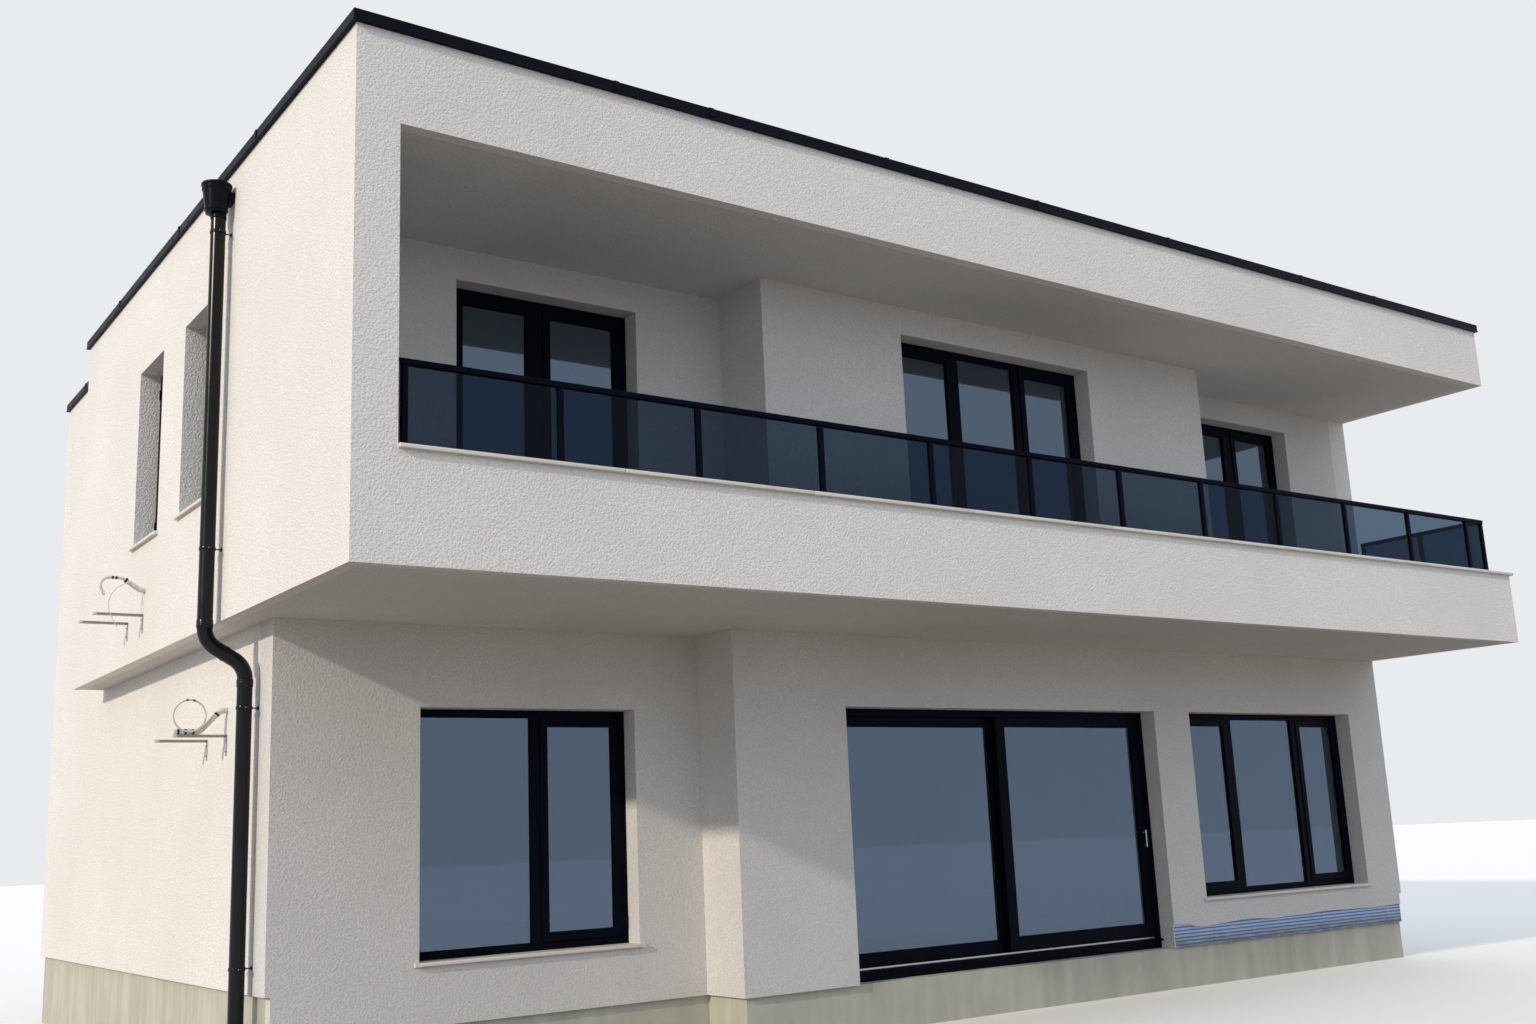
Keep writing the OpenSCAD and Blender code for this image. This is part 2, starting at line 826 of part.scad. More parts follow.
module socket_ring() {
    difference() {
        cylinder(d = pipe_d + 2 * collar_t, h = collar_h);
        translate([0, 0, -cut]) cylinder(d = pipe_d, h = collar_h + 2 * cut);
    }
}

// Railing

rail_x = wall_t + first_post;
rail_end_x = house_w - return_inset;
post_count = floor((rail_end_x - rail_x - post_w) / post_pitch) + 1;
front_post_x = [for (i = [0 : post_count - 1]) rail_x + i * post_pitch];
rail_bottom_z = cap_z + rail_h - rail_t;
return_bays = 2;
return_end_y = main_front_y - return_gap;
return_pitch = (return_end_y - post_w / 2 - rail_inset) / return_bays;
return_post_y = [for (i = [1 : return_bays]) rail_inset + i * return_pitch];

module post(x, y, w, d) {
    block([x - w / 2, y - d / 2, cap_z], [x + w / 2, y + d / 2, rail_bottom_z]);
}

module railing_posts() {
    color(dark_metal) {
        for (x = front_post_x) post(x, rail_inset, post_w, post_d);
        post(rail_end_x, rail_inset, post_w, post_w);
        for (y = return_post_y) post(rail_end_x, y, post_d, post_w);
    }
}

module railing_top_rail() {
    color(dark_metal) {
        block([wall_t, rail_inset - rail_d / 2, rail_bottom_z],
            [rail_end_x + rail_d / 2, rail_inset + rail_d / 2, rail_bottom_z + rail_t]);
        block([rail_end_x - rail_d / 2, rail_inset - rail_d / 2, rail_bottom_z],
            [rail_end_x + rail_d / 2, return_end_y, rail_bottom_z + rail_t]);
    }
}

module front_pane(x0, x1) {
    block([x0, rail_inset - pane_t / 2, cap_z + pane_gap],
        [x1, rail_inset + pane_t / 2, rail_bottom_z]);
}

module side_pane(y0, y1) {
    block([rail_end_x - pane_t / 2, y0, cap_z + pane_gap],
        [rail_end_x + pane_t / 2, y1, rail_bottom_z]);
}

module railing_glass() {
    half = post_w / 2;
    ends = concat(front_post_x, [rail_end_x]);
    color(tinted_glass) {
        front_pane(wall_t, rail_x - half);
        for (i = [0 : post_count - 1]) front_pane(ends[i] + half, ends[i + 1] - half);
        side_pane(rail_inset + half, return_post_y[0] - half);
        for (i = [1 : return_bays - 1]) {
            side_pane(return_post_y[i - 1] + half, return_post_y[i] - half);
        }
    }
}

// Brackets and pipe tails for outdoor units on the left side

module bracket_places() {
    for (i = [0, 1]) {
        translate([0, upper_bracket_y + i * bracket_pitch, upper_floor_z + upper_bracket_h])
            children();
        translate([side_overhang, lower_bracket_y + i * bracket_pitch,
            floor_z + lower_bracket_h]) children();
    }
}

// Angle section that lies on its flange, with its web on the far side
module bracket_arms() {
    color(zinc) bracket_places() {
        translate([-bracket_reach, -bracket_w / 2, 0]) cube([bracket_reach, bracket_w, bracket_t]);
        translate([-bracket_reach, bracket_w / 2 - bracket_t, bracket_t - bracket_web])
            cube([bracket_reach, bracket_t, bracket_web]);
    }
}

module bracket_legs() {
    color(zinc) bracket_places() {
        translate([-bracket_t, -bracket_w / 2, -bracket_leg])
            cube([bracket_t, bracket_w - bracket_t, bracket_leg]);
    }
}

// A pipe that starts along X and stays in the plane of X and Z. A step is
// [length, 0, diameter] for a straight piece or [radius, angle, diameter] for a bend, which
// turns up if its angle is positive.
module pipe_run(steps, i = 0) {
    if (i < len(steps)) {
        size = steps[i][0];
        angle = steps[i][1];
        d = steps[i][2];
        side = sign(angle);
        if (angle == 0) {
            translate([joint_gap, 0, 0]) rotate([0, 90, 0])
                cylinder(d = d, h = size - 2 * joint_gap);
            translate([size, 0, 0]) pipe_run(steps, i + 1);
        } else {
            translate([0, 0, side * size]) rotate([90, 0, 0])
                rotate([0, 0, side > 0 ? -90 : 90 + angle])
                    rotate_extrude(angle = abs(angle)) translate([size, 0]) circle(d = d);
            translate([size * sin(abs(angle)), 0, side * size * (1 - cos(angle))])
                rotate([0, -angle, 0]) pipe_run(steps, i + 1);
        }
    }
}

tail_stub = 24;
tail_bend_r = 60;
ring_r = 120;
ring_d = 14;

// The lower tail slopes down to the front arm, lies along it and carries a tied-up ring
lower_slope = 46;
lower_rest_z = bracket_t + joint_gap + tail_d / 2;
lower_slope_l = (lower_tail_h - lower_rest_z - 2 * tail_bend_r * (1 - cos(lower_slope)))
    / sin(lower_slope);
lower_rest_x = tail_stub + 2 * tail_bend_r * sin(lower_slope) + lower_slope_l * cos(lower_slope);

module lower_tail() {
    translate([0, 0, lower_tail_h]) pipe_run([[tail_stub, 0, tail_d],
        [tail_bend_r, -lower_slope, tail_d], [lower_slope_l, 0, tail_d],
        [tail_bend_r, lower_slope, tail_d], [bracket_reach - 6 - lower_rest_x, 0, tail_d]]);
    translate([bracket_reach - ring_r + 10, (tail_d + ring_d) / 2 + joint_gap,
        lower_rest_z + ring_r]) rotate([90, 0, 0]) rotate_extrude() translate([ring_r, 0])
            circle(d = ring_d);
}

// The upper tail rises from the wall, turns over and ends bare, beside a thin bare pipe
upper_rise = 34;
upper_rise_l = 120;
thin_pipe_start = [140, (tail_d + thin_pipe_d) / 2 + joint_gap, 62];

module upper_tail() {
    pipe_run([[tail_stub, 0, tail_d], [tail_bend_r, upper_rise, tail_d],
        [upper_rise_l, 0, tail_d], [110, -upper_rise, tail_end_d], [70, 0, tail_end_d],
        [70, -115, tail_end_d], [60, 0, tail_end_d]]);
    translate(thin_pipe_start) rotate([0, 30, 0])
        pipe_run([[70, 0, thin_pipe_d], [190, -88, thin_pipe_d], [110, 0, thin_pipe_d]]);
}

module pipe_tails() {
    color("#cfcdc6") {
        translate([side_overhang, lower_bracket_y, floor_z + lower_bracket_h])
            rotate([0, 0, 180]) lower_tail();
        translate([0, upper_bracket_y - 40, upper_floor_z + upper_bracket_h + upper_tail_h])
            rotate([0, 0, 180]) upper_tail();
    }
}

// Windows

module window_sills() {
    color(stone) {
        on_front(left_window_x, wing_front_y, floor_z + ground_sill_h) sill(left_window_w);
        on_front(right_window_x, main_front_y, floor_z + ground_sill_h) sill(right_window_w);
        left_side_places() sill(side_window_w);
        right_side_places() sill(side_window_w);
        rear_lower_places() sill(rear_window_w);
        rear_upper_places() sill(rear_window_w);
        balcony_places(upper_floor_z) {
            cube([side_door_w, wall_t, threshold_h]);
            cube([centre_door_w, wall_t, threshold_h]);
        }
    }
}

module set_back() {
    translate([0, reveal_d, 0]) children();
}

module ground_window_frames() {
    color(anthracite) ground_front_places() {
        set_back() unit_frame(left_window);
        set_back() unit_frame(right_window);
    }
}

module ground_window_glass() {
    color(window_glass) ground_front_places() {
        set_back() unit_glass(left_window);
        set_back() unit_glass(right_window);
    }
}

module balcony_door_frames() {
    color(anthracite) balcony_places(upper_floor_z + threshold_h) {
        set_back() unit_frame(side_door);
        set_back() unit_frame(centre_door);
    }
}

module balcony_door_glass() {
    color(window_glass) balcony_places(upper_floor_z + threshold_h) {
        set_back() unit_glass(side_door);
        set_back() unit_glass(centre_door);
    }
}

module side_window_frames() {
    color(anthracite) {
        left_side_places() set_back() unit_frame(side_window);
        right_side_places() set_back() unit_frame(side_window);
    }
}

module side_window_glass() {
    color(window_glass) {
        left_side_places() set_back() unit_glass(side_window);
        right_side_places() set_back() unit_glass(side_window);
    }
}

module rear_window_frames() {
    color(anthracite) {
        rear_lower_places() set_back() unit_frame(rear_lower);
        rear_upper_places() set_back() unit_frame(rear_upper);
    }
}

module rear_window_glass() {
    color(window_glass) {
        rear_lower_places() set_back() unit_glass(rear_lower);
        rear_upper_places() set_back() unit_glass(rear_upper);
    }
}

// Terrace door. Its local origin is the frame's lower outer left corner on the floor.

track_z = base_strip_h + threshold_t;
leaf_z = track_z + track_h + leaf_gap;
head_z = ground_head_h - door_frame_face;
leaf_top_z = head_z + guide_depth - leaf_gap;
outer_plane = leaf_gap;
inner_plane = outer_plane + leaf_t + leaf_plane_gap;
door_frame_d = inner_plane + leaf_t + leaf_gap;
leaf_w = (door_w - 2 * door_frame_face + leaf_stile) / 2 - leaf_gap;
slide_x = door_w - door_frame_face - leaf_gap - leaf_w;
fixed_w = slide_x + leaf_stile - door_frame_face;
fixed_stile = leaf_stile + meeting_lap;

module at_door() {
    translate([terrace_door_x, main_front_y + reveal_d, floor_z]) children();
}

// Base strip, sloping metal threshold and the two rails
module door_threshold() {
    color(anthracite) at_door() {
        cube([door_w, door_frame_d, base_strip_h]);
        translate([0, 0, base_strip_h]) rotate([90, 0, 90]) linear_extrude(door_w)
            polygon([[-30, 0], [door_frame_d, 0], [door_frame_d, threshold_t],
                [0, threshold_t], [-30, threshold_t - 8]]);
        translate([door_frame_face, outer_plane + leaf_t / 2 - track_w / 2, track_z])
            cube([door_w - 2 * door_frame_face, track_w, track_h]);
    }
}

// Jambs and head in one welded frame, with a guide groove over each leaf
module door_frame() {
    color(anthracite) at_door() difference() {
        translate([0, 0, track_z]) cube([door_w, door_frame_d, ground_head_h - track_z]);
        block([door_frame_face, -cut, track_z - cut],
            [door_w - door_frame_face, door_frame_d + cut, head_z]);
        block([door_frame_face, outer_plane - leaf_gap + guide_lip, head_z - cut],
            [door_w - door_frame_face, outer_plane + leaf_t - guide_lip + leaf_gap,
                head_z + guide_depth]);
        fixed_leaf_form();
    }
}

// The leaf's guided edge is this much thinner on each side than the leaf
guide_lip = 12;

// Body of a leaf, with a tongue along its top that runs in the head's groove
module leaf_body(w, stile_left, stile_right, low_z) {
    top = head_z - leaf_gap;
    difference() {
        union() {
            translate([0, 0, low_z]) cube([w, leaf_t, top - low_z]);
            translate([0, guide_lip, top - cut])
                cube([w, leaf_t - 2 * guide_lip, leaf_top_z - top + cut]);
        }
        block([stile_left, -cut, low_z + leaf_bottom_rail],
            [w - stile_right, leaf_t + cut, top - leaf_top_rail + leaf_gap]);
        leaf_glass_form(w, stile_left, stile_right, low_z);
    }
}

module leaf_glass_form(w, stile_left, stile_right, low_z) {
    block([stile_left - glass_bite, (leaf_t - glass_t) / 2, low_z + leaf_bottom_rail - glass_bite],
        [w - stile_right + glass_bite, (leaf_t + glass_t) / 2,
            head_z - leaf_top_rail + glass_bite]);
}

// The fixed leaf stands on the threshold in the inner plane, against the left jamb
module at_fixed_leaf() {
    translate([door_frame_face, inner_plane, 0]) children();
}

module fixed_leaf_form() {
    at_fixed_leaf() translate([0, guide_lip, head_z - leaf_gap])
        cube([fixed_w, leaf_t - 2 * guide_lip, leaf_top_z - head_z + leaf_gap]);
}

// Hooked strips on the meeting stiles, which engage as the door closes
hook_t = 6;
hook_reach = leaf_plane_gap - leaf_gap;
hook_h = head_z - leaf_gap - leaf_z;

module door_fixed_leaf() {
    color(anthracite) at_door() {
        at_fixed_leaf() leaf_body(fixed_w, leaf_stile, fixed_stile, track_z);
        translate([slide_x + leaf_stile / 2 + hook_t, inner_plane - hook_reach, leaf_z])
            cube([hook_t, hook_reach, hook_h]);
    }
}

module door_fixed_glass() {
    color(window_glass) at_door() at_fixed_leaf()
        leaf_glass_form(fixed_w, leaf_stile, fixed_stile, track_z);
}

module at_sliding_leaf() {
    at_door() translate([slide_x, outer_plane, 0]) children();
}

roller_groove = 4;
roller_w = 20;
roller_z = track_z + track_h + roller_gap + roller_d / 2 - roller_groove;
roller_x = [250, leaf_w - 250];
pocket_l = roller_d + 12;
pocket_w = roller_w + 12;
pocket_top_z = roller_z + roller_d / 2 + 6;

module door_sliding_leaf() {
    color(anthracite) at_sliding_leaf() {
        difference() {
            leaf_body(leaf_w, leaf_stile, leaf_stile, leaf_z);
            for (x = roller_x) {
                block([x - pocket_l / 2, (leaf_t - pocket_w) / 2, leaf_z - cut],
                    [x + pocket_l / 2, (leaf_t + pocket_w) / 2, pocket_top_z]);
            }
        }
        translate([leaf_stile / 2 - hook_t, leaf_t, leaf_z]) cube([hook_t, hook_reach, hook_h]);
    }
}

module door_sliding_glass() {
    color(window_glass) at_sliding_leaf()
        leaf_glass_form(leaf_w, leaf_stile, leaf_stile, leaf_z);
}

// Grooved rollers that straddle the outer rail, on pins between the pocket's sides
module door_rollers() {
    color(zinc) at_sliding_leaf() for (x = roller_x) {
        translate([x, leaf_t / 2, roller_z]) rotate([90, 0, 0]) {
            rotate_extrude() polygon([
                [0, -roller_w / 2], [roller_d / 2, -roller_w / 2], [roller_d / 2, -track_w / 2 - 1],
                [roller_d / 2 - roller_groove, -track_w / 2 - 1],
                [roller_d / 2 - roller_groove, track_w / 2 + 1], [roller_d / 2, track_w / 2 + 1],
                [roller_d / 2, roller_w / 2], [0, roller_w / 2]
            ]);
            cylinder(d = 10, h = pocket_w, center = true);
        }
    }
}

// Back plate and turned-down grip on the closing stile
plate_w = 34;
plate_t = 6;
grip_out = 42;
grip_d = 18;

module door_handle() {
    color(zinc) at_sliding_leaf() {
        translate([leaf_w - leaf_stile / 2 - plate_w / 2, -plate_t, handle_z - handle_l / 2])
            cube([plate_w, plate_t, handle_l]);
        translate([leaf_w - leaf_stile / 2, -plate_t, handle_z + handle_l / 2 - 26])
            rotate([90, 0, 0]) cylinder(d = grip_d, h = grip_out - plate_t);
        translate([leaf_w - leaf_stile / 2, -grip_out, handle_z - handle_l / 2 + 4])
            cylinder(d = grip_d, h = handle_l - 20);
    }
}

placed() base_slab();
placed() plinth_upstand();
placed() base_insulation();
placed() ground_wall_left();
placed() ground_wall_rear();
placed() ground_wall_right();
placed() ground_wall_front_left();
placed() ground_door_pier();
placed() ground_door_lintel();
placed() ground_wall_front_right();
placed() upper_floor_slab();
placed() balcony_parapet();
placed() parapet_cap();
placed() box_left_wall();
placed() upper_wall_rear_left();
placed() upper_wall_rear();
placed() upper_wall_right();
placed() upper_wall_front_left();
placed() upper_wall_front_bay();
placed() upper_wall_front_right();
placed() roof_slab();
placed() roof_covering();
placed() roof_fascia();
placed() roof_coping();
placed() roof_spout();
placed() hopper_head();
placed() downpipe_upper();
placed() downpipe_neck();
placed() downpipe_lower();
placed() downpipe_clamps();
placed() railing_posts();
placed() railing_top_rail();
placed() railing_glass();
placed() bracket_arms();
placed() bracket_legs();
placed() pipe_tails();
placed() window_sills();
placed() ground_window_frames();
placed() ground_window_glass();
placed() balcony_door_frames();
placed() balcony_door_glass();
placed() side_window_frames();
placed() side_window_glass();
placed() rear_window_frames();
placed() rear_window_glass();
placed() door_threshold();
placed() door_frame();
placed() door_fixed_leaf();
placed() door_fixed_glass();
placed() door_sliding_leaf();
placed() door_sliding_glass();
placed() door_rollers();
placed() door_handle();
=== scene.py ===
# %% [markdown]
# # A rendered two-storey house, built up around its frame
#
# The frame holds every wall, slab, window and pipe of the house at its real size. This lesson
# gives each of them the finish of the real thing and replaces the ones whose small shapes matter,
# such as the folded roof edge and the stone sills. It adds what the frame lacks, such as gaskets,
# hinges and laps. We work in metres, with +X along the front, +Y to the rear and +Z up.

import json
import math
import random

import bmesh
import bpy
from mathutils import Matrix, Vector

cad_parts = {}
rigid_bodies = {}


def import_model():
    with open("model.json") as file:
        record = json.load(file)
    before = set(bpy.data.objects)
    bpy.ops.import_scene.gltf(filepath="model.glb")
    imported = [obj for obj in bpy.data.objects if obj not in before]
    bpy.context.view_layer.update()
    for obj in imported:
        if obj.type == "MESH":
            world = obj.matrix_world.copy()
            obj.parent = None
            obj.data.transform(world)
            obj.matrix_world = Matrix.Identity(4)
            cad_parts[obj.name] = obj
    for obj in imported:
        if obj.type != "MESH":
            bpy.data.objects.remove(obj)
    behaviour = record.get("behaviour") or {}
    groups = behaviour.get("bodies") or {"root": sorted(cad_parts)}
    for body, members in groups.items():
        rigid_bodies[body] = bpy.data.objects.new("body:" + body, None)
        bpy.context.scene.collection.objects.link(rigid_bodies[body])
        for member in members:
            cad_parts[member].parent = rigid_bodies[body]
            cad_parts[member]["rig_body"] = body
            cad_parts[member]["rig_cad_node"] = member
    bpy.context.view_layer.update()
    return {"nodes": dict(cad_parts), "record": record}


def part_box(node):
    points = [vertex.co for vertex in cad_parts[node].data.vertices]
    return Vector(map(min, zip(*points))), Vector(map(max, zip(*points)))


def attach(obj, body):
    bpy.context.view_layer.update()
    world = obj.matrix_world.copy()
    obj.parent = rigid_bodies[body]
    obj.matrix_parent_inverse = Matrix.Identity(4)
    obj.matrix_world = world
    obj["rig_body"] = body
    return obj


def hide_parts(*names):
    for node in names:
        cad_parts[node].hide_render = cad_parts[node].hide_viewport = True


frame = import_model()

# %% [markdown]
# ## Where the camera stands
#
# A camera can be set by eye, but a house has long straight edges that show every error. We worked
# out the place and the three angles from the edges of the photograph, so they are plain numbers
# here: at eye height near the left front corner, looking up a little.

# %% Camera
EYE = Vector((-9.526, -13.718, 1.654))
TURN_RIGHT = math.radians(35.85)
LOOK_UP = math.radians(11.94)
TILT = math.radians(-2.50)
FOCAL_MM = 35.78

bpy.ops.object.select_all(action="DESELECT")
bpy.ops.object.camera_add(location=EYE)
camera = bpy.context.object
camera.name = "camera"
camera.data.sensor_width = 36
camera.data.lens = FOCAL_MM
camera.data.clip_end = 400
camera.matrix_world = (
    Matrix.Translation(EYE)
    @ Matrix.Rotation(-TURN_RIGHT, 4, "Z")
    @ Matrix.Rotation(math.pi / 2 + LOOK_UP, 4, "X")
    @ Matrix.Rotation(TILT, 4, "Z")
)
bpy.context.scene.camera = camera
bpy.context.scene.view_settings.view_transform = "Standard"
print("camera at", tuple(round(v, 2) for v in EYE))

# %% [markdown]
# ## Small helpers for materials
#
# Colours are written the way a paint chart gives them, as sRGB hex values, and one function turns
# them to the linear values that the shader wants. A second function adds any node with its
# settings and its inputs. With those two, a material reads like a recipe.

# %% Colour and node helpers
def srgb(code):
    """A hex colour such as "#F0ECE2" as linear RGBA."""
    channels = [int(code[i : i + 2], 16) / 255 for i in (1, 3, 5)]
    linear = [c / 12.92 if c <= 0.04045 else ((c + 0.055) / 1.055) ** 2.4 for c in channels]
    return (*linear, 1.0)


def add(tree, kind, inputs=None, **settings):
    """Adds a node. An input's value is a number, a colour or the socket that feeds it."""
    node = tree.nodes.new(kind)
    for name, value in settings.items():
        setattr(node, name, value)
    for key, value in (inputs or {}).items():
        socket = node.inputs[key]
        if isinstance(value, bpy.types.NodeSocket):
            tree.links.new(value, socket)
        else:
            socket.default_value = value
    return node


def new_material(name):
    """An empty material with its output node."""
    material = bpy.data.materials.new(name)
    material.use_nodes = True
    material.node_tree.nodes.clear()
    output = add(material.node_tree, "ShaderNodeOutputMaterial")
    return material, material.node_tree, output.inputs["Surface"]


MM = 0.001


def per_metre(size_mm):
    """The texture scale that makes one feature about this many millimetres wide."""
    return 1000 / size_mm


print("#F0ECE2 in linear light is", [round(c, 2) for c in srgb("#F0ECE2")[:3]])

# %% [markdown]
# ## Studio light
#
# The house stands on a wide pale floor under an even pale sky, with one soft lamp low on the left.
# The lamp grazes the front, which lets the grain of the render show, and it reaches under the
# overhang from the side. The eye sees the floor pale, but it throws back only as much light as
# bare earth does. Otherwise a white floor would wash out every soffit.

# %% World, lamp and floor
SKY = srgb("#E9ECEE")
SKY_LIGHT_COLOUR = srgb("#E2EAF6")
SKY_LIGHT = 1.05
LAMP_POWER = 2.15
LAMP_SPREAD = math.radians(1.8)
LAMP_FROM = Vector((-1.0, -0.24, 0.42))


def seen_directly(tree):
    """1 where the eye, a mirror or clear glass looks, 0 where light is only gathered."""
    path = add(tree, "ShaderNodeLightPath")
    seen = add(tree, "ShaderNodeMath", {0: path.outputs["Is Camera Ray"],
                                        1: path.outputs["Is Glossy Ray"]}, operation="MAXIMUM")
    seen = add(tree, "ShaderNodeMath", {0: seen.outputs[0],
                                        1: path.outputs["Is Transmission Ray"]},
               operation="MAXIMUM")
    return seen.outputs[0]


world = bpy.data.worlds.new("studio")
bpy.context.scene.world = world
world.use_nodes = True
sky = world.node_tree
sky.nodes.clear()
light = add(sky, "ShaderNodeBackground", {"Color": SKY_LIGHT_COLOUR, "Strength": SKY_LIGHT})
backdrop = add(sky, "ShaderNodeBackground", {"Color": SKY, "Strength": 1.0})
mixed = add(sky, "ShaderNodeMixShader", {0: seen_directly(sky), 1: light.outputs[0],
                                         2: backdrop.outputs[0]})
add(sky, "ShaderNodeOutputWorld", {"Surface": mixed.outputs[0]})

bpy.ops.object.light_add(type="SUN", location=LAMP_FROM * 30)
lamp = bpy.context.object
lamp.name = "soft_lamp"
lamp.data.energy = LAMP_POWER
lamp.data.color = srgb("#FFF0DA")[:3]
lamp.data.angle = LAMP_SPREAD
lamp.rotation_euler = LAMP_FROM.to_track_quat("Z", "Y").to_euler()

bpy.ops.mesh.primitive_circle_add(vertices=96, radius=150, fill_type="NGON")
floor = bpy.context.object
floor.name = "studio_floor"
floor_paint, tree, surface = new_material("studio_floor_paint")
grain = add(tree, "ShaderNodeTexNoise", {"Scale": 0.8, "Detail": 4})
pale = add(tree, "ShaderNodeMix", {0: grain.outputs["Fac"], 6: srgb("#F2F1EE"),
                                   7: srgb("#F8F7F4")}, data_type="RGBA")
tone = add(tree, "ShaderNodeMix", {0: seen_directly(tree), 6: srgb("#8C857A"),
                                   7: pale.outputs[2]}, data_type="RGBA")
shader = add(tree, "ShaderNodeBsdfPrincipled", {"Base Color": tone.outputs[2], "Roughness": 0.9})
tree.links.new(shader.outputs[0], surface)
floor.data.materials.append(floor_paint)
print("studio ready")

# %% [markdown]
# ## Finishes
#
# Each finish starts from what the real surface is and how it was made. Outside walls carry a
# scraped mineral render: 2 mm grains rolled under a trowel, which leave short worm tracks. Those
# are too fine for a whole-house view, so they are drawn about seven times coarser. The trowel also
# leaves the wall a little uneven over half a metre, which shows where light grazes it.

# %% Mineral render
def mineral_render(name, light_code, dark_code, track_mm, depth_mm):
    """Trowelled mineral render: soft blotches, painted shade in its hollows, worm tracks and
    unevenness.
    """
    material, tree, surface = new_material(name)
    place = add(tree, "ShaderNodeTexCoord").outputs["Object"]
    drift = add(tree, "ShaderNodeTexNoise", {"Vector": place, "Scale": per_metre(60),
                                             "Detail": 2.0})
    bent = add(tree, "ShaderNodeMix", {0: 0.012, 4: place, 5: drift.outputs["Color"]},
               data_type="VECTOR")
    tracks = add(tree, "ShaderNodeTexVoronoi", {"Vector": bent.outputs[1],
                                                "Scale": per_metre(track_mm)},
                 feature="SMOOTH_F1")
    crumbs = add(tree, "ShaderNodeTexNoise", {"Vector": place, "Scale": per_metre(9),
                                              "Detail": 3.0, "Roughness": 0.65})
    height = add(tree, "ShaderNodeMath", {0: tracks.outputs["Distance"],
                                          1: crumbs.outputs["Fac"]}, operation="MULTIPLY")
    uneven = add(tree, "ShaderNodeTexNoise", {"Vector": place, "Scale": per_metre(550),
                                              "Detail": 2.0})
    sway = add(tree, "ShaderNodeBump", {"Height": uneven.outputs["Fac"], "Strength": 1.0,
                                        "Distance": 4 * MM})
    relief = add(tree, "ShaderNodeBump", {"Height": height.outputs[0], "Strength": 1.0,
                                          "Distance": depth_mm * MM,
                                          "Normal": sway.outputs[0]})
    blotch = add(tree, "ShaderNodeTexNoise", {"Vector": place, "Scale": per_metre(1400),
                                              "Detail": 5.0, "Roughness": 0.55})
    # Painted shade: the colour darkens where the relief is low, in the hollows of the grain.
    painted_pore_shade = add(tree, "ShaderNodeMapRange", {"Value": height.outputs[0], 1: 0.05, 2: 0.30,
                                             3: 0.0, 4: 1.0})
    amount = add(tree, "ShaderNodeMath", {0: blotch.outputs["Fac"], 1: painted_pore_shade.outputs[0]},
                 operation="MULTIPLY")
    colour = add(tree, "ShaderNodeMix", {0: amount.outputs[0], 6: srgb(dark_code),
                                         7: srgb(light_code)}, data_type="RGBA")
    shader = add(tree, "ShaderNodeBsdfPrincipled", {"Base Color": colour.outputs[2],
                                                    "Roughness": 0.92,
                                                    "Specular IOR Level": 0.2,
                                                    "Normal": relief.outputs[0]})
    tree.links.new(shader.outputs[0], surface)
    return material


RENDER_WHITE = mineral_render("scraped_render_white", "#FAF8F5", "#DEDBD7", 15, 11)
RENDER_GREY = mineral_render("scraped_render_pale_grey", "#EAE8E6", "#CAC8C5", 15, 6)
print("render tracks at", round(per_metre(15), 1), "per metre")

# %% [markdown]
# Cast concrete shows drips of cement milk and greenish damp near the ground. Stone sills are sawn
# limestone, nearly even, with a fine fleck.

# %% Concrete, stone and bare insulation
def cast_concrete():
    """Cast concrete with drip streaks and damp stains."""
    material, tree, surface = new_material("cast_concrete")
    place = add(tree, "ShaderNodeTexCoord").outputs["Object"]
    cloud = add(tree, "ShaderNodeTexNoise", {"Vector": place, "Scale": per_metre(700),
                                             "Detail": 8.0, "Roughness": 0.62})
    runs = add(tree, "ShaderNodeMapping", {"Vector": place, "Scale": (1.0, 1.0, 0.12)})
    streak = add(tree, "ShaderNodeTexNoise", {"Vector": runs.outputs[0],
                                              "Scale": per_metre(130), "Detail": 5.0})
    pits = add(tree, "ShaderNodeTexNoise", {"Vector": place, "Scale": per_metre(14),
                                            "Detail": 4.0})
    mix = add(tree, "ShaderNodeMath", {0: cloud.outputs["Fac"], 1: streak.outputs["Fac"]},
              operation="MULTIPLY")
    ramp = add(tree, "ShaderNodeValToRGB", {0: mix.outputs[0]})
    ramp.color_ramp.elements[0].position = 0.10
    ramp.color_ramp.elements[0].color = srgb("#A9AA9A")
    ramp.color_ramp.elements[1].position = 0.36
    ramp.color_ramp.elements[1].color = srgb("#C2C1B4")
    relief = add(tree, "ShaderNodeBump", {"Height": pits.outputs["Fac"], "Strength": 0.5,
                                          "Distance": 2 * MM})
    shader = add(tree, "ShaderNodeBsdfPrincipled", {"Base Color": ramp.outputs[0],
                                                    "Roughness": 0.85,
                                                    "Normal": relief.outputs[0]})
    tree.links.new(shader.outputs[0], surface)
    return material


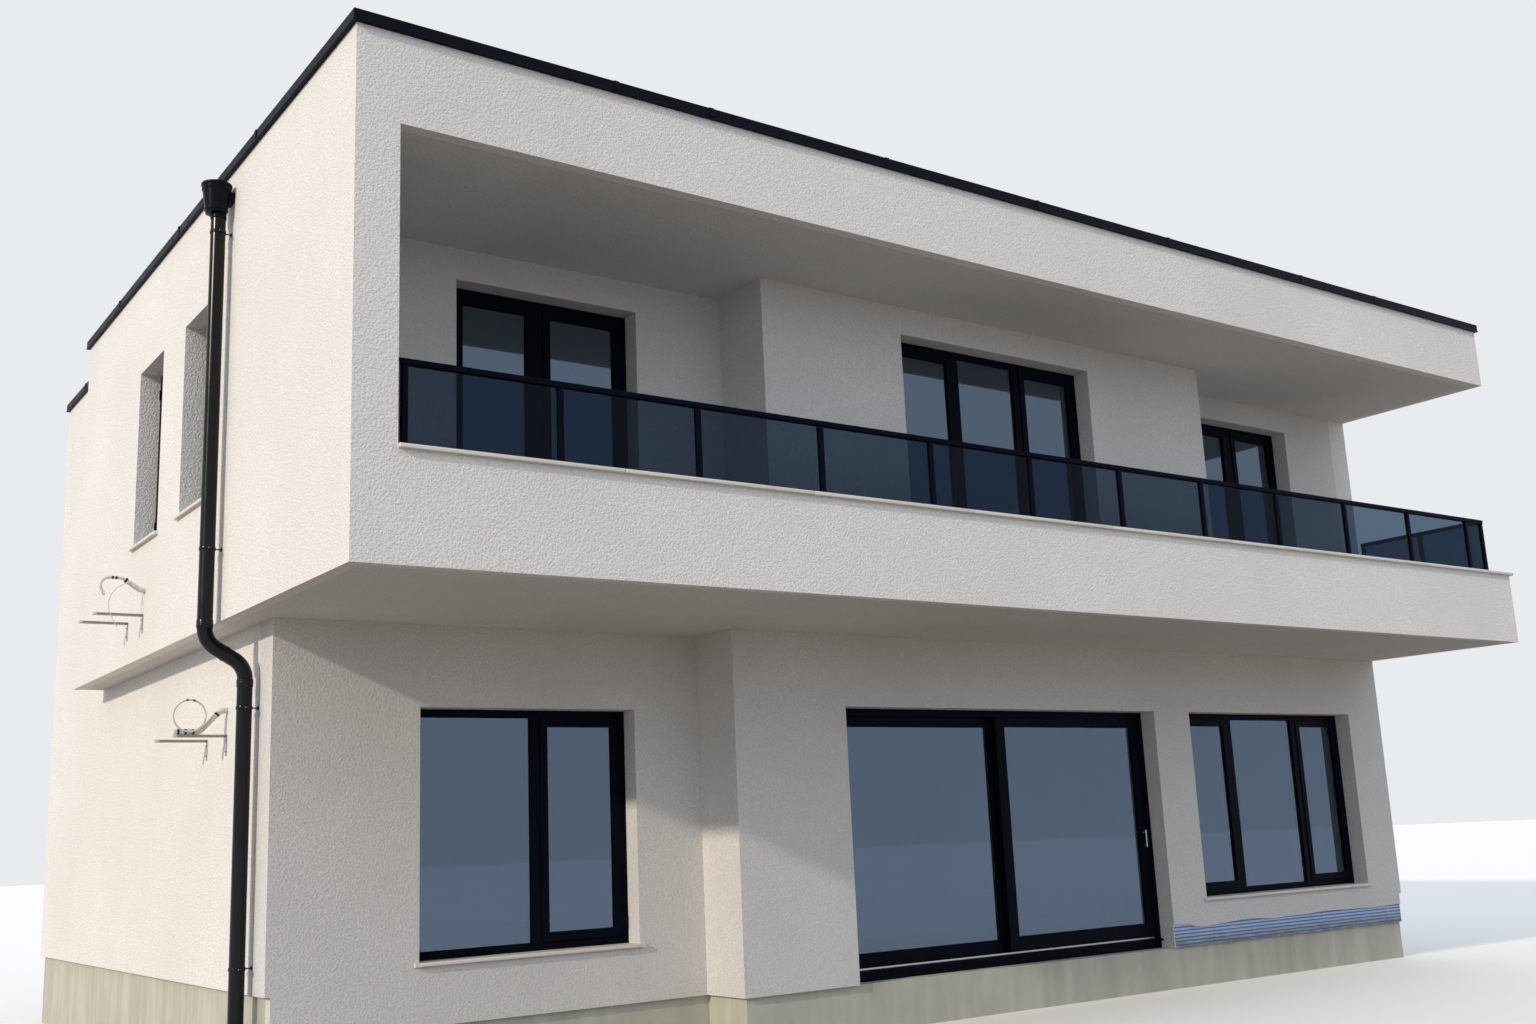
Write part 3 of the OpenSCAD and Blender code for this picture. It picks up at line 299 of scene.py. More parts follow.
def sawn_limestone():
    """Pale limestone slab, sawn and rubbed, with fine fleck."""
    material, tree, surface = new_material("sawn_limestone")
    place = add(tree, "ShaderNodeTexCoord").outputs["Object"]
    fleck = add(tree, "ShaderNodeTexNoise", {"Vector": place, "Scale": per_metre(6),
                                             "Detail": 6.0, "Roughness": 0.7})
    bed = add(tree, "ShaderNodeTexNoise", {"Vector": place, "Scale": per_metre(400),
                                           "Detail": 3.0})
    tint = add(tree, "ShaderNodeMix", {0: fleck.outputs["Fac"], 6: srgb("#CBC7BE"),
                                       7: srgb("#E6E3DC")}, data_type="RGBA")
    aged = add(tree, "ShaderNodeMix", {0: bed.outputs["Fac"], 6: tint.outputs[2],
                                       7: srgb("#D6D2CA")}, data_type="RGBA")
    relief = add(tree, "ShaderNodeBump", {"Height": fleck.outputs["Fac"], "Strength": 0.25,
                                          "Distance": 1 * MM})
    shader = add(tree, "ShaderNodeBsdfPrincipled", {"Base Color": aged.outputs[2],
                                                    "Roughness": 0.55,
                                                    "Normal": relief.outputs[0]})
    tree.links.new(shader.outputs[0], surface)
    return material


def foam_board(name, light_code, dark_code):
    """Extruded polystyrene board, pale blue, with mortar smears and mud splashed up its foot."""
    material, tree, surface = new_material(name)
    place = add(tree, "ShaderNodeTexCoord").outputs["Object"]
    dust = add(tree, "ShaderNodeTexNoise", {"Vector": place, "Scale": per_metre(220),
                                            "Detail": 6.0, "Roughness": 0.7})
    tint = add(tree, "ShaderNodeMix", {0: dust.outputs["Fac"], 6: srgb(dark_code),
                                       7: srgb(light_code)}, data_type="RGBA")
    long = add(tree, "ShaderNodeMapping", {"Vector": place, "Scale": (1.0, 1.0, 4.0)})
    smear = add(tree, "ShaderNodeTexNoise", {"Vector": long.outputs[0], "Scale": per_metre(160),
                                             "Detail": 5.0, "Roughness": 0.7})
    mortar = add(tree, "ShaderNodeMapRange", {"Value": smear.outputs["Fac"], 1: 0.60, 2: 0.72,
                                              3: 0.0, 4: 0.75})
    smeared = add(tree, "ShaderNodeMix", {0: mortar.outputs[0], 6: tint.outputs[2],
                                          7: srgb("#CDD1D3")}, data_type="RGBA")
    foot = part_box("base_insulation")[0].z
    height = add(tree, "ShaderNodeSeparateXYZ", {"Vector": place})
    splash = add(tree, "ShaderNodeMapRange", {"Value": height.outputs["Z"], 1: foot,
                                              2: foot + 0.13, 3: 1.0, 4: 0.0})
    blots = add(tree, "ShaderNodeMapRange", {"Value": smear.outputs["Fac"], 1: 0.30, 2: 0.55,
                                             3: 0.2, 4: 1.0})
    mud = add(tree, "ShaderNodeMath", {0: splash.outputs[0], 1: blots.outputs[0]},
              operation="MULTIPLY")
    dirty = add(tree, "ShaderNodeMix", {0: mud.outputs[0], 6: smeared.outputs[2],
                                        7: srgb("#6A7478")}, data_type="RGBA")
    shader = add(tree, "ShaderNodeBsdfPrincipled", {"Base Color": dirty.outputs[2],
                                                    "Roughness": 0.7})
    tree.links.new(shader.outputs[0], surface)
    return material


CONCRETE = cast_concrete()
LIMESTONE = sawn_limestone()
FOAM_BLUE = foam_board("extruded_polystyrene_blue", "#C2D3EC", "#96B4E0")
# The darker board finish paints shade into the rib grooves and gives the joints their dark colour.
FOAM_SHADE_AND_JOINT = foam_board("extruded_polystyrene_groove_shade_and_joint", "#7F9AC4", "#4E6FA8")
print("masonry finishes made")

# %% [markdown]
# The window frames and the railing are aluminium with a matt anthracite powder coat. A powder coat
# has a faint orange peel, so its reflections are soft. The roof edge and the pipes are coated
# sheet: smoother, with a slight wave where the sheet was folded.

# %% Metals
def coated_metal(name, code, roughness, peel_mm, depth_mm, dust_code="#4A4D52", shine=0.5):
    """Coated metal with orange peel of a given width and a little dust."""
    material, tree, surface = new_material(name)
    place = add(tree, "ShaderNodeTexCoord").outputs["Object"]
    peel = add(tree, "ShaderNodeTexNoise", {"Vector": place, "Scale": per_metre(peel_mm),
                                            "Detail": 2.0})
    dust = add(tree, "ShaderNodeTexNoise", {"Vector": place, "Scale": per_metre(350),
                                            "Detail": 7.0, "Roughness": 0.7})
    thin = add(tree, "ShaderNodeMapRange", {"Value": dust.outputs["Fac"], 1: 0.45, 2: 0.85,
                                            3: 0.0, 4: 0.04})
    colour = add(tree, "ShaderNodeMix", {0: thin.outputs[0], 6: srgb(code),
                                         7: srgb(dust_code)}, data_type="RGBA")
    dull = add(tree, "ShaderNodeMapRange", {"Value": dust.outputs["Fac"], 1: 0.3, 2: 0.8,
                                            3: roughness, 4: roughness + 0.18})
    relief = add(tree, "ShaderNodeBump", {"Height": peel.outputs["Fac"], "Strength": 0.4,
                                          "Distance": depth_mm * MM})
    shader = add(tree, "ShaderNodeBsdfPrincipled", {"Base Color": colour.outputs[2],
                                                    "Roughness": dull.outputs[0],
                                                    "Specular IOR Level": shine,
                                                    "Normal": relief.outputs[0]})
    tree.links.new(shader.outputs[0], surface)
    return material


def bare_metal(name, code, roughness, grain_mm):
    """Uncoated metal with a fine grain in its shine."""
    material, tree, surface = new_material(name)
    place = add(tree, "ShaderNodeTexCoord").outputs["Object"]
    spangle = add(tree, "ShaderNodeTexVoronoi", {"Vector": place, "Scale": per_metre(grain_mm)})
    dull = add(tree, "ShaderNodeMapRange", {"Value": spangle.outputs["Distance"], 1: 0.0,
                                            2: 0.8, 3: roughness, 4: roughness + 0.2})
    shader = add(tree, "ShaderNodeBsdfPrincipled", {"Base Color": srgb(code), "Metallic": 1.0,
                                                    "Roughness": dull.outputs[0]})
    tree.links.new(shader.outputs[0], surface)
    return material


FRAME_COAT = coated_metal("powder_coated_aluminium", "#040A16", 0.36, 3.0, 0.3, shine=0.03)
RAIL_COAT = coated_metal("powder_coated_rail", "#050A1A", 0.34, 3.0, 0.3, shine=0.03)
SHEET_COAT = coated_metal("coated_folded_sheet", "#080C1C", 0.36, 240.0, 4.0, shine=0.06)
PIPE_COAT = coated_metal("coated_pipe", "#070A10", 0.14, 200.0, 0.08, shine=0.22)
HOPPER_COAT = coated_metal("coated_hopper_sheet", "#090E1A", 0.22, 200.0, 0.08, shine=0.08)
RUBBER = coated_metal("black_rubber_gasket", "#04060B", 0.55, 8.0, 0.4, shine=0.03)
ZINC = bare_metal("galvanised_steel", "#ABA9A3", 0.34, 14)
ALUMINIUM = bare_metal("anodised_aluminium", "#C9CBCD", 0.30, 3)
print("metal finishes made")

# %% [markdown]
# Window glass mirrors the sky with a cool tint from its sun-control coating, and what it lets
# through is dim, so a room looks dark by day. A shader that refracts would leave the rooms black
# and noisy. A mix of a tinted clear sheet and a mirror, weighed by Fresnel, gives the same look
# cleanly. Only the outermost face of a window is such a coated face. The others are plain clear
# glass, which keeps the noise down. The railing's laminated glass is tinted through and through.
# Where light leaves the sheet again, Fresnel would count the step from glass to air and turn the
# back face into a full mirror, so only the face that light enters by mirrors.

# %% Glass
def glazing(name, tint_code, mirror_code, ior):
    """Clear tinted sheet and mirror, weighed by the angle of view."""
    material, tree, surface = new_material(name)
    place = add(tree, "ShaderNodeTexCoord").outputs["Object"]
    wave = add(tree, "ShaderNodeTexNoise", {"Vector": place, "Scale": per_metre(900),
                                            "Detail": 0.0})
    relief = add(tree, "ShaderNodeBump", {"Height": wave.outputs["Fac"], "Strength": 0.2,
                                          "Distance": 3 * MM})
    weight = add(tree, "ShaderNodeFresnel", {"IOR": ior, "Normal": relief.outputs[0]})
    from_behind = add(tree, "ShaderNodeNewGeometry").outputs["Backfacing"]
    entering = add(tree, "ShaderNodeMath", {0: 1.0, 1: from_behind}, operation="SUBTRACT")
    share = add(tree, "ShaderNodeMath", {0: weight.outputs[0], 1: entering.outputs[0]},
                operation="MULTIPLY")
    clear = add(tree, "ShaderNodeBsdfTransparent", {"Color": srgb(tint_code)})
    mirror = add(tree, "ShaderNodeBsdfAnisotropic", {"Color": srgb(mirror_code),
                                                     "Roughness": 0.02,
                                                     "Normal": relief.outputs[0]})
    mix = add(tree, "ShaderNodeMixShader", {0: share.outputs[0], 1: clear.outputs[0],
                                            2: mirror.outputs[0]})
    tree.links.new(mix.outputs[0], surface)
    return material


def clear_glass():
    """The faces of a pane that carry no coating: they only take a trace of green."""
    material, tree, surface = new_material("clear_float_glass")
    clear = add(tree, "ShaderNodeBsdfTransparent", {"Color": srgb("#F2F6F3")})
    tree.links.new(clear.outputs[0], surface)
    return material


WINDOW_GLASS = glazing("sun_control_glass", "#BCC4C8", "#9CB5D3", 3.2)
CLEAR_GLASS = clear_glass()
RAIL_GLASS = glazing("tinted_laminated_glass", "#9CAAB8", "#6C7A8E", 1.5)
print("glass made")

# %% [markdown]
# The roof is covered with bitumen sheet, and the pipe tails on the wall wear white foam sleeves
# wound with tape.

# %% Roof sheet and foam sleeve
def bitumen_sheet():
    """Mineral-faced bitumen sheet."""
    material, tree, surface = new_material("slated_bitumen_sheet")
    place = add(tree, "ShaderNodeTexCoord").outputs["Object"]
    slate = add(tree, "ShaderNodeTexVoronoi", {"Vector": place, "Scale": per_metre(7)})
    pond = add(tree, "ShaderNodeTexNoise", {"Vector": place, "Scale": per_metre(1800),
                                            "Detail": 5.0})
    chips = add(tree, "ShaderNodeMix", {0: slate.outputs["Distance"], 6: srgb("#565A5D"),
                                        7: srgb("#74787A")}, data_type="RGBA")
    stained = add(tree, "ShaderNodeMix", {0: pond.outputs["Fac"], 6: chips.outputs[2],
                                          7: srgb("#5F615F")}, data_type="RGBA")
    relief = add(tree, "ShaderNodeBump", {"Height": slate.outputs["Distance"],
                                          "Strength": 0.4, "Distance": 1.5 * MM})
    shader = add(tree, "ShaderNodeBsdfPrincipled", {"Base Color": stained.outputs[2],
                                                    "Roughness": 0.9,
                                                    "Normal": relief.outputs[0]})
    tree.links.new(shader.outputs[0], surface)
    return material


BITUMEN = bitumen_sheet()
FOAM_SLEEVE = coated_metal("polyethylene_foam_sleeve", "#D2CFC8", 0.7, 12.0, 1.0, "#A8A49B")
BARE_PIPE = coated_metal("weathered_bare_pipe", "#77736A", 0.55, 12.0, 0.6, "#A8A49B", 0.3)
DARK_TAPE = coated_metal("dark_grey_tape", "#33322F", 0.6, 8.0, 0.5, "#77736A", 0.2)
print("roof and sleeve finishes made")

# %% [markdown]
# ## Finishes for the frame's own pieces
#
# Pieces whose shape is already right only need their finish. The node names say what they are, so
# one table does the work. The roof spout is coated like the coping above it.

# %% Give the frame's nodes their finishes
FINISH_OF = {
    "render_white": RENDER_WHITE,
    "render_grey": RENDER_GREY,
    "concrete": CONCRETE,
    "insulation": FOAM_BLUE,
    "stone": LIMESTONE,
    "frame_anthracite": FRAME_COAT,
    "sheet_anthracite": SHEET_COAT,
    "steel_dark": RAIL_COAT,
    "galvanised": ZINC,
    "aluminium": ALUMINIUM,
    "tinted_glass": RAIL_GLASS,
    "window_glass": WINDOW_GLASS,
    "membrane": BITUMEN,
    "pipe_cover": FOAM_SLEEVE,
}
for part in frame["record"]["subparts"]:
    node_mesh = frame["nodes"][part["node"]].data
    node_mesh.materials.clear()
    node_mesh.materials.append(FINISH_OF[part["material_slot"]])
frame["nodes"]["roof_spout"].data.materials[0] = SHEET_COAT
print(len(frame["nodes"]), "nodes finished")

# %% [markdown]
# ## Modelling helpers
#
# The small parts are modelled as by hand: a primitive at its size and place, then edit mode. Every
# operator acts on all that is selected, so each helper starts by deselecting everything. Faces and
# edges are chosen by a test on their place or direction, as one would click on them.

# %% Start, choose, copy and join
def deselect():
    """Leaves edit mode and selects nothing."""
    if bpy.context.object and bpy.context.object.mode != "OBJECT":
        bpy.ops.object.mode_set(mode="OBJECT")
    bpy.ops.object.select_all(action="DESELECT")


def only(piece):
    """Selects one piece alone and makes it the active one."""
    deselect()
    piece.select_set(True)
    bpy.context.view_layer.objects.active = piece


def started(name):
    """Names the primitive that was just added and puts its place in its mesh."""
    piece = bpy.context.object
    piece.name = name
    bpy.ops.object.transform_apply(location=True, rotation=True, scale=True)
    return piece


def block(name, low, high):
    """A cube between two opposite corners, in metres."""
    deselect()
    low, high = Vector(low), Vector(high)
    bpy.ops.mesh.primitive_cube_add(size=1, location=(low + high) / 2, scale=high - low)
    return started(name)


def pick(piece, kind, test):
    """Opens a piece with only the faces or edges selected that pass the test."""
    only(piece)
    bpy.ops.object.mode_set(mode="EDIT")
    bpy.ops.mesh.select_mode(type=kind)
    bpy.ops.mesh.select_all(action="DESELECT")
    shape = bmesh.from_edit_mesh(piece.data)
    for item in shape.faces if kind == "FACE" else shape.edges:
        if test(item):
            item.select_set(True)
    bmesh.update_edit_mesh(piece.data)


def soften(piece, width_mm, segments=2):
    """Rounds every sharp edge."""
    only(piece)
    bpy.ops.object.modifier_add(type="BEVEL")
    rounding = piece.modifiers[-1]
    rounding.width = width_mm * MM
    rounding.segments = segments
    rounding.limit_method = "ANGLE"
    bpy.ops.object.modifier_apply(modifier=rounding.name)
    return piece


def thickened(piece, thick_mm):
    """Gives a sheet its thickness, inwards from its surface."""
    only(piece)
    bpy.ops.object.modifier_add(type="SOLIDIFY")
    wall = piece.modifiers[-1]
    wall.thickness = thick_mm * MM
    wall.offset = -1
    bpy.ops.object.modifier_apply(modifier=wall.name)
    return piece


def pull_out(x, y, z):
    """Extrudes what is selected by this many metres."""
    bpy.ops.mesh.extrude_region_move(TRANSFORM_OT_translate={"value": (x, y, z)})


def cut_across(piece, axis, places):
    """Cuts a piece by planes square to an axis, so that the strips between can be shaped."""
    normal = Vector((0, 0, 0))
    normal[axis] = 1
    for place in places:
        only(piece)
        bpy.ops.object.mode_set(mode="EDIT")
        bpy.ops.mesh.select_all(action="SELECT")
        point = Vector((0, 0, 0))
        point[axis] = place
        bpy.ops.mesh.bisect(plane_co=point, plane_no=normal)
    deselect()


def cut_notch(piece, x, y):
    """Opens a piece with its left rear corner cut away: all that is left of x and behind y."""
    cut_across(piece, 0, [x])
    cut_across(piece, 1, [y])
    pick(piece, "FACE", lambda face: face.calc_center_median().x < x
         and face.calc_center_median().y > y)
    bpy.ops.mesh.delete(type="FACE")


def copied(piece, name, shift, turn=0.0):
    """A copy with its own mesh, turned about Z at the origin and then moved."""
    twin = piece.copy()
    twin.data = piece.data.copy()
    twin.name = name
    bpy.context.scene.collection.objects.link(twin)
    twin.data.transform(Matrix.Translation(shift) @ Matrix.Rotation(turn, 4, "Z"))
    return twin


def discard(*patterns):
    """Removes pieces that were only there to be copied."""
    for pattern in patterns:
        bpy.data.objects.remove(pattern)


def joined(name, parts):
    """Joins pieces into one and names it."""
    only(parts[0])
    for part in parts:
        part.select_set(True)
    bpy.ops.object.join()
    bpy.context.object.name = name
    return bpy.context.object


def fitted(piece, material, nodes=(), body="house"):
    """Gives a finished piece its shading, finish and body. No finish keeps what it has."""
    only(piece)
    bpy.ops.object.shade_smooth_by_angle(angle=math.radians(35))
    if material:
        piece.data.materials.clear()
        piece.data.materials.append(material)
    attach(piece, body)
    if nodes:
        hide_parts(*nodes)
    print(piece.name, len(piece.data.polygons), "faces")
    return piece


print("modelling helpers ready")

# %% [markdown]
# ## Two rulers
#
# The house is measured in millimetres from the left front corner of its upper box. `at` turns such
# a place into the frame's metres. `solids` lists the boxes of a node's separate solids, so each
# pane, post or sill is found where the frame has it.

# %% Places in the house and boxes of a node's solids
COPING_NOSE = 35
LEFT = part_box("roof_coping")[0].x + COPING_NOSE * MM
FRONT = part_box("roof_coping")[0].y + COPING_NOSE * MM


def at(x, y, z):
    """A place in house millimetres as metres in the frame."""
    return Vector((LEFT + x * MM, FRONT + y * MM, z * MM))


def solids(node):
    """(low, high) of every separate solid of a node, sorted by place."""
    shape = bmesh.new()
    shape.from_mesh(frame["nodes"][node].data)
    bmesh.ops.remove_doubles(shape, verts=shape.verts, dist=0.00001)
    left, boxes = set(shape.verts), []
    while left:
        reach = [left.pop()]
        low, high = reach[0].co.copy(), reach[0].co.copy()
        while reach:
            corner = reach.pop()
            low = Vector(map(min, low, corner.co))
            high = Vector(map(max, high, corner.co))
            for edge in corner.link_edges:
                other = edge.other_vert(corner)
                if other in left:
                    left.remove(other)
                    reach.append(other)
        boxes.append((low, high))
    shape.free()
    return sorted(boxes, key=lambda box: tuple(round(v, 3) for v in box[0]))


print("upper box starts at", round(LEFT, 3), round(FRONT, 3))

# %% [markdown]
# ## Roof coping
#
# The roof edge wears a cap of folded sheet: a skirt with a small lip that throws the drips off the
# wall, a top that falls towards the roof, and an inner skirt. One could sweep a section along the
# edge, but mitred corners are easier with inset: the whole six-cornered outline is one face, and
# each inset with a depth draws the next fold all the way round, mitres included.

# %% Coping folded out of one face
HOUSE_W, HOUSE_D = 13030, 10060
WING_BACK_Y, WING_OUT = 7570, 300
COPING_Z = 6870
# The section as steps from the outer lip: how far further in, how much higher, in mm
COPING_FOLDS = ((0, 4), (6, 8), (0, 66), (3, 4), (352, -4), (3, -4), (0, -60), (5, -10))

deselect()
bpy.ops.mesh.primitive_plane_add(
    size=1, location=(at(-COPING_NOSE, -COPING_NOSE, COPING_Z)
                      + at(HOUSE_W + COPING_NOSE, HOUSE_D + COPING_NOSE, COPING_Z)) / 2)
coping = bpy.context.object
coping.scale = at(HOUSE_W + 2 * COPING_NOSE, HOUSE_D + 2 * COPING_NOSE, 0) - at(0, 0, 0)
coping = started("coping_sheet")
notch = at(WING_OUT - COPING_NOSE, WING_BACK_Y + COPING_NOSE, 0)
cut_notch(coping, notch.x, notch.y)
bpy.ops.mesh.select_all(action="SELECT")
bpy.ops.mesh.dissolve_limited(angle_limit=0.01)
for inwards, upwards in COPING_FOLDS:
    if inwards:
        bpy.ops.mesh.inset(thickness=inwards * MM, depth=upwards * MM, use_even_offset=True)
    else:
        pull_out(0, 0, upwards * MM)
bpy.ops.mesh.delete(type="FACE")
pick(coping, "FACE", lambda face: face.calc_area() > 50)
bpy.ops.mesh.delete(type="FACE")
bpy.ops.mesh.select_all(action="SELECT")
bpy.ops.mesh.region_to_loop()
bpy.ops.mesh.bridge_edge_loops()
bpy.ops.mesh.select_all(action="SELECT")
bpy.ops.mesh.normals_make_consistent(inside=False)
deselect()
fitted(coping, SHEET_COAT, ["roof_coping"])

# %% [markdown]
# Sheets are about two metres long. Where two meet, a strap of the same sheet covers the gap and
# hooks over both skirts, and its folded ear stands up a little. One strap is modelled and copied.

# %% Straps over the coping's joints
FRONT_STRAPS = [1898, 2707, 4400, 6100, 7811, 9835, 11089]
strap_z = COPING_Z * MM
strap = block("strap", (-0.02, -0.0348, strap_z + 0.013), (0.02, 0.3348, strap_z + 0.0830))
pick(strap, "FACE", lambda face: face.normal.z < -0.9)
bpy.ops.mesh.delete(type="FACE")
thickened(soften(strap, 2.0), 0.8)
ear = block("ear", (-0.012, -0.026, strap_z + 0.0805), (0.012, -0.004, strap_z + 0.085))
strap = joined("strap", [strap, soften(ear, 1.2)])
places = [(at(x, 0, 0), 0.0) for x in FRONT_STRAPS]
places += [(at(0, y, 0), -math.pi / 2) for y in (1994, 4100, 6200)]
places += [(at(WING_OUT, 9100, 0), -math.pi / 2)]
places += [(at(HOUSE_W, y, 0), math.pi / 2) for y in (1900, 3900, 5900, 7900)]
places += [(at(x, HOUSE_D, 0), math.pi) for x in (2300, 4300, 6300, 8300, 10300, 12000)]
copies = [copied(strap, "strap_copy", (p.x, p.y, 0), turn) for p, turn in places]
discard(strap)
fitted(joined("coping_straps", copies), SHEET_COAT)

# %% [markdown]
# ## Stone cap and sills
#
# The parapet's cap and the window sills are 30 mm limestone slabs. The nose is rounded, and a drip
# groove is sawn under it, so that water falls off before it reaches the wall. The groove is a
# strip of the underside, cut free with two bisections and pushed up.

# %% Slabs with a nose and a drip groove
# In mm: a stone's thickness, how far its nose stands out of the wall, and how round the nose is
STONE_T, STONE_NOSE, NOSE_R = 30, 35, 9
# In mm: where the groove starts behind the nose, its width and its depth
GROOVE_AT, GROOVE_W, GROOVE_D = 12, 8, 7


def slab(name, length_mm, depth_mm, thick_mm, groove_at_mm, joint_mm=0):
    """A slab along +X from the origin: nose at y = 0, top at z = 0."""
    stone = block(name, (joint_mm / 2 * MM, 0, -thick_mm * MM),
                  ((length_mm - joint_mm / 2) * MM, depth_mm * MM, 0))
    cut_across(stone, 1, [groove_at_mm * MM, (groove_at_mm + GROOVE_W) * MM])
    middle = (groove_at_mm + GROOVE_W / 2) * MM
    pick(stone, "FACE", lambda face: face.normal.z < -0.9
         and abs(face.calc_center_median().y - middle) < GROOVE_W / 2 * MM)
    pull_out(0, 0, GROOVE_D * MM)
    pick(stone, "EDGE", lambda edge: all(v.co.y < 0.0001 for v in edge.verts))
    bpy.ops.mesh.bevel(offset=NOSE_R * MM, segments=4, affect="EDGES")
    deselect()
    return stone


CAP_Z, PARAPET_T, MAIN_FRONT_Y, WALL_T = 4110, 250, 1780, 300
CAP_W = PARAPET_T + 2 * STONE_NOSE
CAP_JOINT, CAP_STONES = 3, 8
front_run = HOUSE_W + STONE_NOSE - WALL_T
cap_stone = slab("cap_stone", front_run / CAP_STONES, CAP_W, STONE_T, GROOVE_AT, CAP_JOINT)
cap = [copied(cap_stone, "cap_copy",
              at(WALL_T + i * front_run / CAP_STONES, -STONE_NOSE, CAP_Z))
       for i in range(CAP_STONES)]
return_run = MAIN_FRONT_Y - (PARAPET_T + STONE_NOSE)
return_stone = slab("return_stone", return_run, CAP_W, STONE_T, GROOVE_AT, CAP_JOINT)
cap.append(copied(return_stone, "cap_copy",
                  at(HOUSE_W + STONE_NOSE, PARAPET_T + STONE_NOSE, CAP_Z), math.pi / 2))
discard(cap_stone, return_stone)
fitted(joined("cap_stones", cap), LIMESTONE, ["parapet_cap"])

# %% [markdown]
# A sill is such a slab with ears: its nose runs past the opening on both sides, in front of the
# wall. The ears grow out of the nose's two ends by extrusion.

# %% Sills and door steps
SILL_D, SILL_EAR = 335, 40
STEP_T, STEP_GROOVE_AT = 50, 14


def sill(name, width_mm):
    """A sill for an opening of this width, with an ear at each end of its nose."""
    stone = slab(name, width_mm, SILL_D, STONE_T, GROOVE_AT)
    cut_across(stone, 1, [STONE_NOSE * MM])
    for side in (-1, 1):
        pick(stone, "FACE", lambda face: face.normal.x * side > 0.9
             and face.calc_center_median().y < STONE_NOSE * MM)
        pull_out(side * SILL_EAR * MM, 0, 0)
    deselect()
    return stone


TURN_OF_SIDE = {"front": 0.0, "right": math.pi / 2, "rear": math.pi, "left": -math.pi / 2}
# Every front wall stands within this many metres of the upper box's front
FRONT_DEPTH = 2.4


def side_of(low, high):
    """The wall that a flat upright box belongs to."""
    size, middle = high - low, (low + high) / 2
    if size.x < size.y:
        return "left" if middle.x < 0 else "right"
    return "front" if middle.y < 0 else "rear"


def stone_side(low, high):
    """The wall of a sill, from the corner that stands out of it."""
    if low.y < FRONT + FRONT_DEPTH and high.y - low.y < (SILL_D + 5) * MM:
        return "front"
    if high.y > FRONT + HOUSE_D * MM:
        return "rear"
    return "left" if low.x < LEFT else "right"


stones = []
for low, high in solids("window_sills"):
    side = stone_side(low, high)
    along = 1 if side in ("left", "right") else 0
    length = (high - low)[along] / MM
    corner = {"front": (low.x, low.y), "right": (high.x, low.y),
              "rear": (high.x, high.y), "left": (low.x, high.y)}[side]
    if high.z - low.z > (STONE_T + STEP_T) / 2 * MM:
        step = slab("step", length, (high - low).y / MM, STEP_T, STEP_GROOVE_AT)
        stones.append(copied(step, "sill_copy", (low.x, low.y, high.z)))
        discard(step)
        continue
    one = sill("sill", length - 2 * SILL_EAR)
    one.data.transform(Matrix.Translation((SILL_EAR * MM, 0, 0)))
    stones.append(copied(one, "sill_copy", (*corner, high.z), TURN_OF_SIDE[side]))
    discard(one)
fitted(joined("sill_stones", stones), LIMESTONE, ["window_sills"])

# %% [markdown]
# ## Glazing
#
# A window pane is two 4 mm sheets held apart by an aluminium spacer, and the bright line that runs
# round inside the frame is that spacer. So each solid pane of the frame is replaced by two sheets
# with ground edges and a spacer ring between. A rubber gasket closes the joint to the frame.

# %% Rings, and what a pane is made of
# In mm: how far a pane sits in its frame, and how wide its spacer and gasket are
GLASS_BITE, SPACER_W, GASKET_W = 14, 21, 6
# In metres: a sheet's thickness, and how far a gasket stands out in front of it
SHEET_T, GASKET_PROUD = 0.004, 0.0045
WINDOW_PANES = ("ground_window_glass", "balcony_door_glass", "side_window_glass",
                "rear_window_glass")


def ring(name, low, high, width_mm):
    """A flat frame: the broad faces of a block are inset and bridged into a hole."""
    piece = block(name, low, high)
    size = Vector(high) - Vector(low)
    thin = min(range(3), key=lambda i: size[i])
    pick(piece, "FACE", lambda face: abs(face.normal[thin]) > 0.9)
    bpy.ops.mesh.inset(thickness=width_mm * MM)
    bpy.ops.mesh.bridge_edge_loops()
    deselect()
    return piece


def grown(low, high, margin, thin, start, end):
    """The box grown sideways by a margin, with its thickness set from start to end."""
    low, high = low.copy(), high.copy()
    for i in range(3):
        if i != thin:
            low[i] -= margin
            high[i] += margin
    low[thin], high[thin] = min(start, end), max(start, end)
    return low, high


def faces_of(side, low, high):
    """A pane's thin axis, its outer face, its inner face and the way inwards as 1 or -1."""
    thin = 0 if side in ("left", "right") else 1
    if side in ("left", "front"):
        return thin, low[thin], high[thin], 1
    return thin, high[thin], low[thin], -1


def glass_sheet(low, high, thin, outwards):
    """One sheet with ground edges. Its outer face is coated where outwards is -1 or 1."""
    sheet = soften(block("sheet", low, high), 0.8, 1)
    sheet.data.materials.append(CLEAR_GLASS)
    sheet.data.materials.append(WINDOW_GLASS)
    for face in sheet.data.polygons:
        face.material_index = 1 if face.normal[thin] * outwards > 0.9 else 0
    return sheet


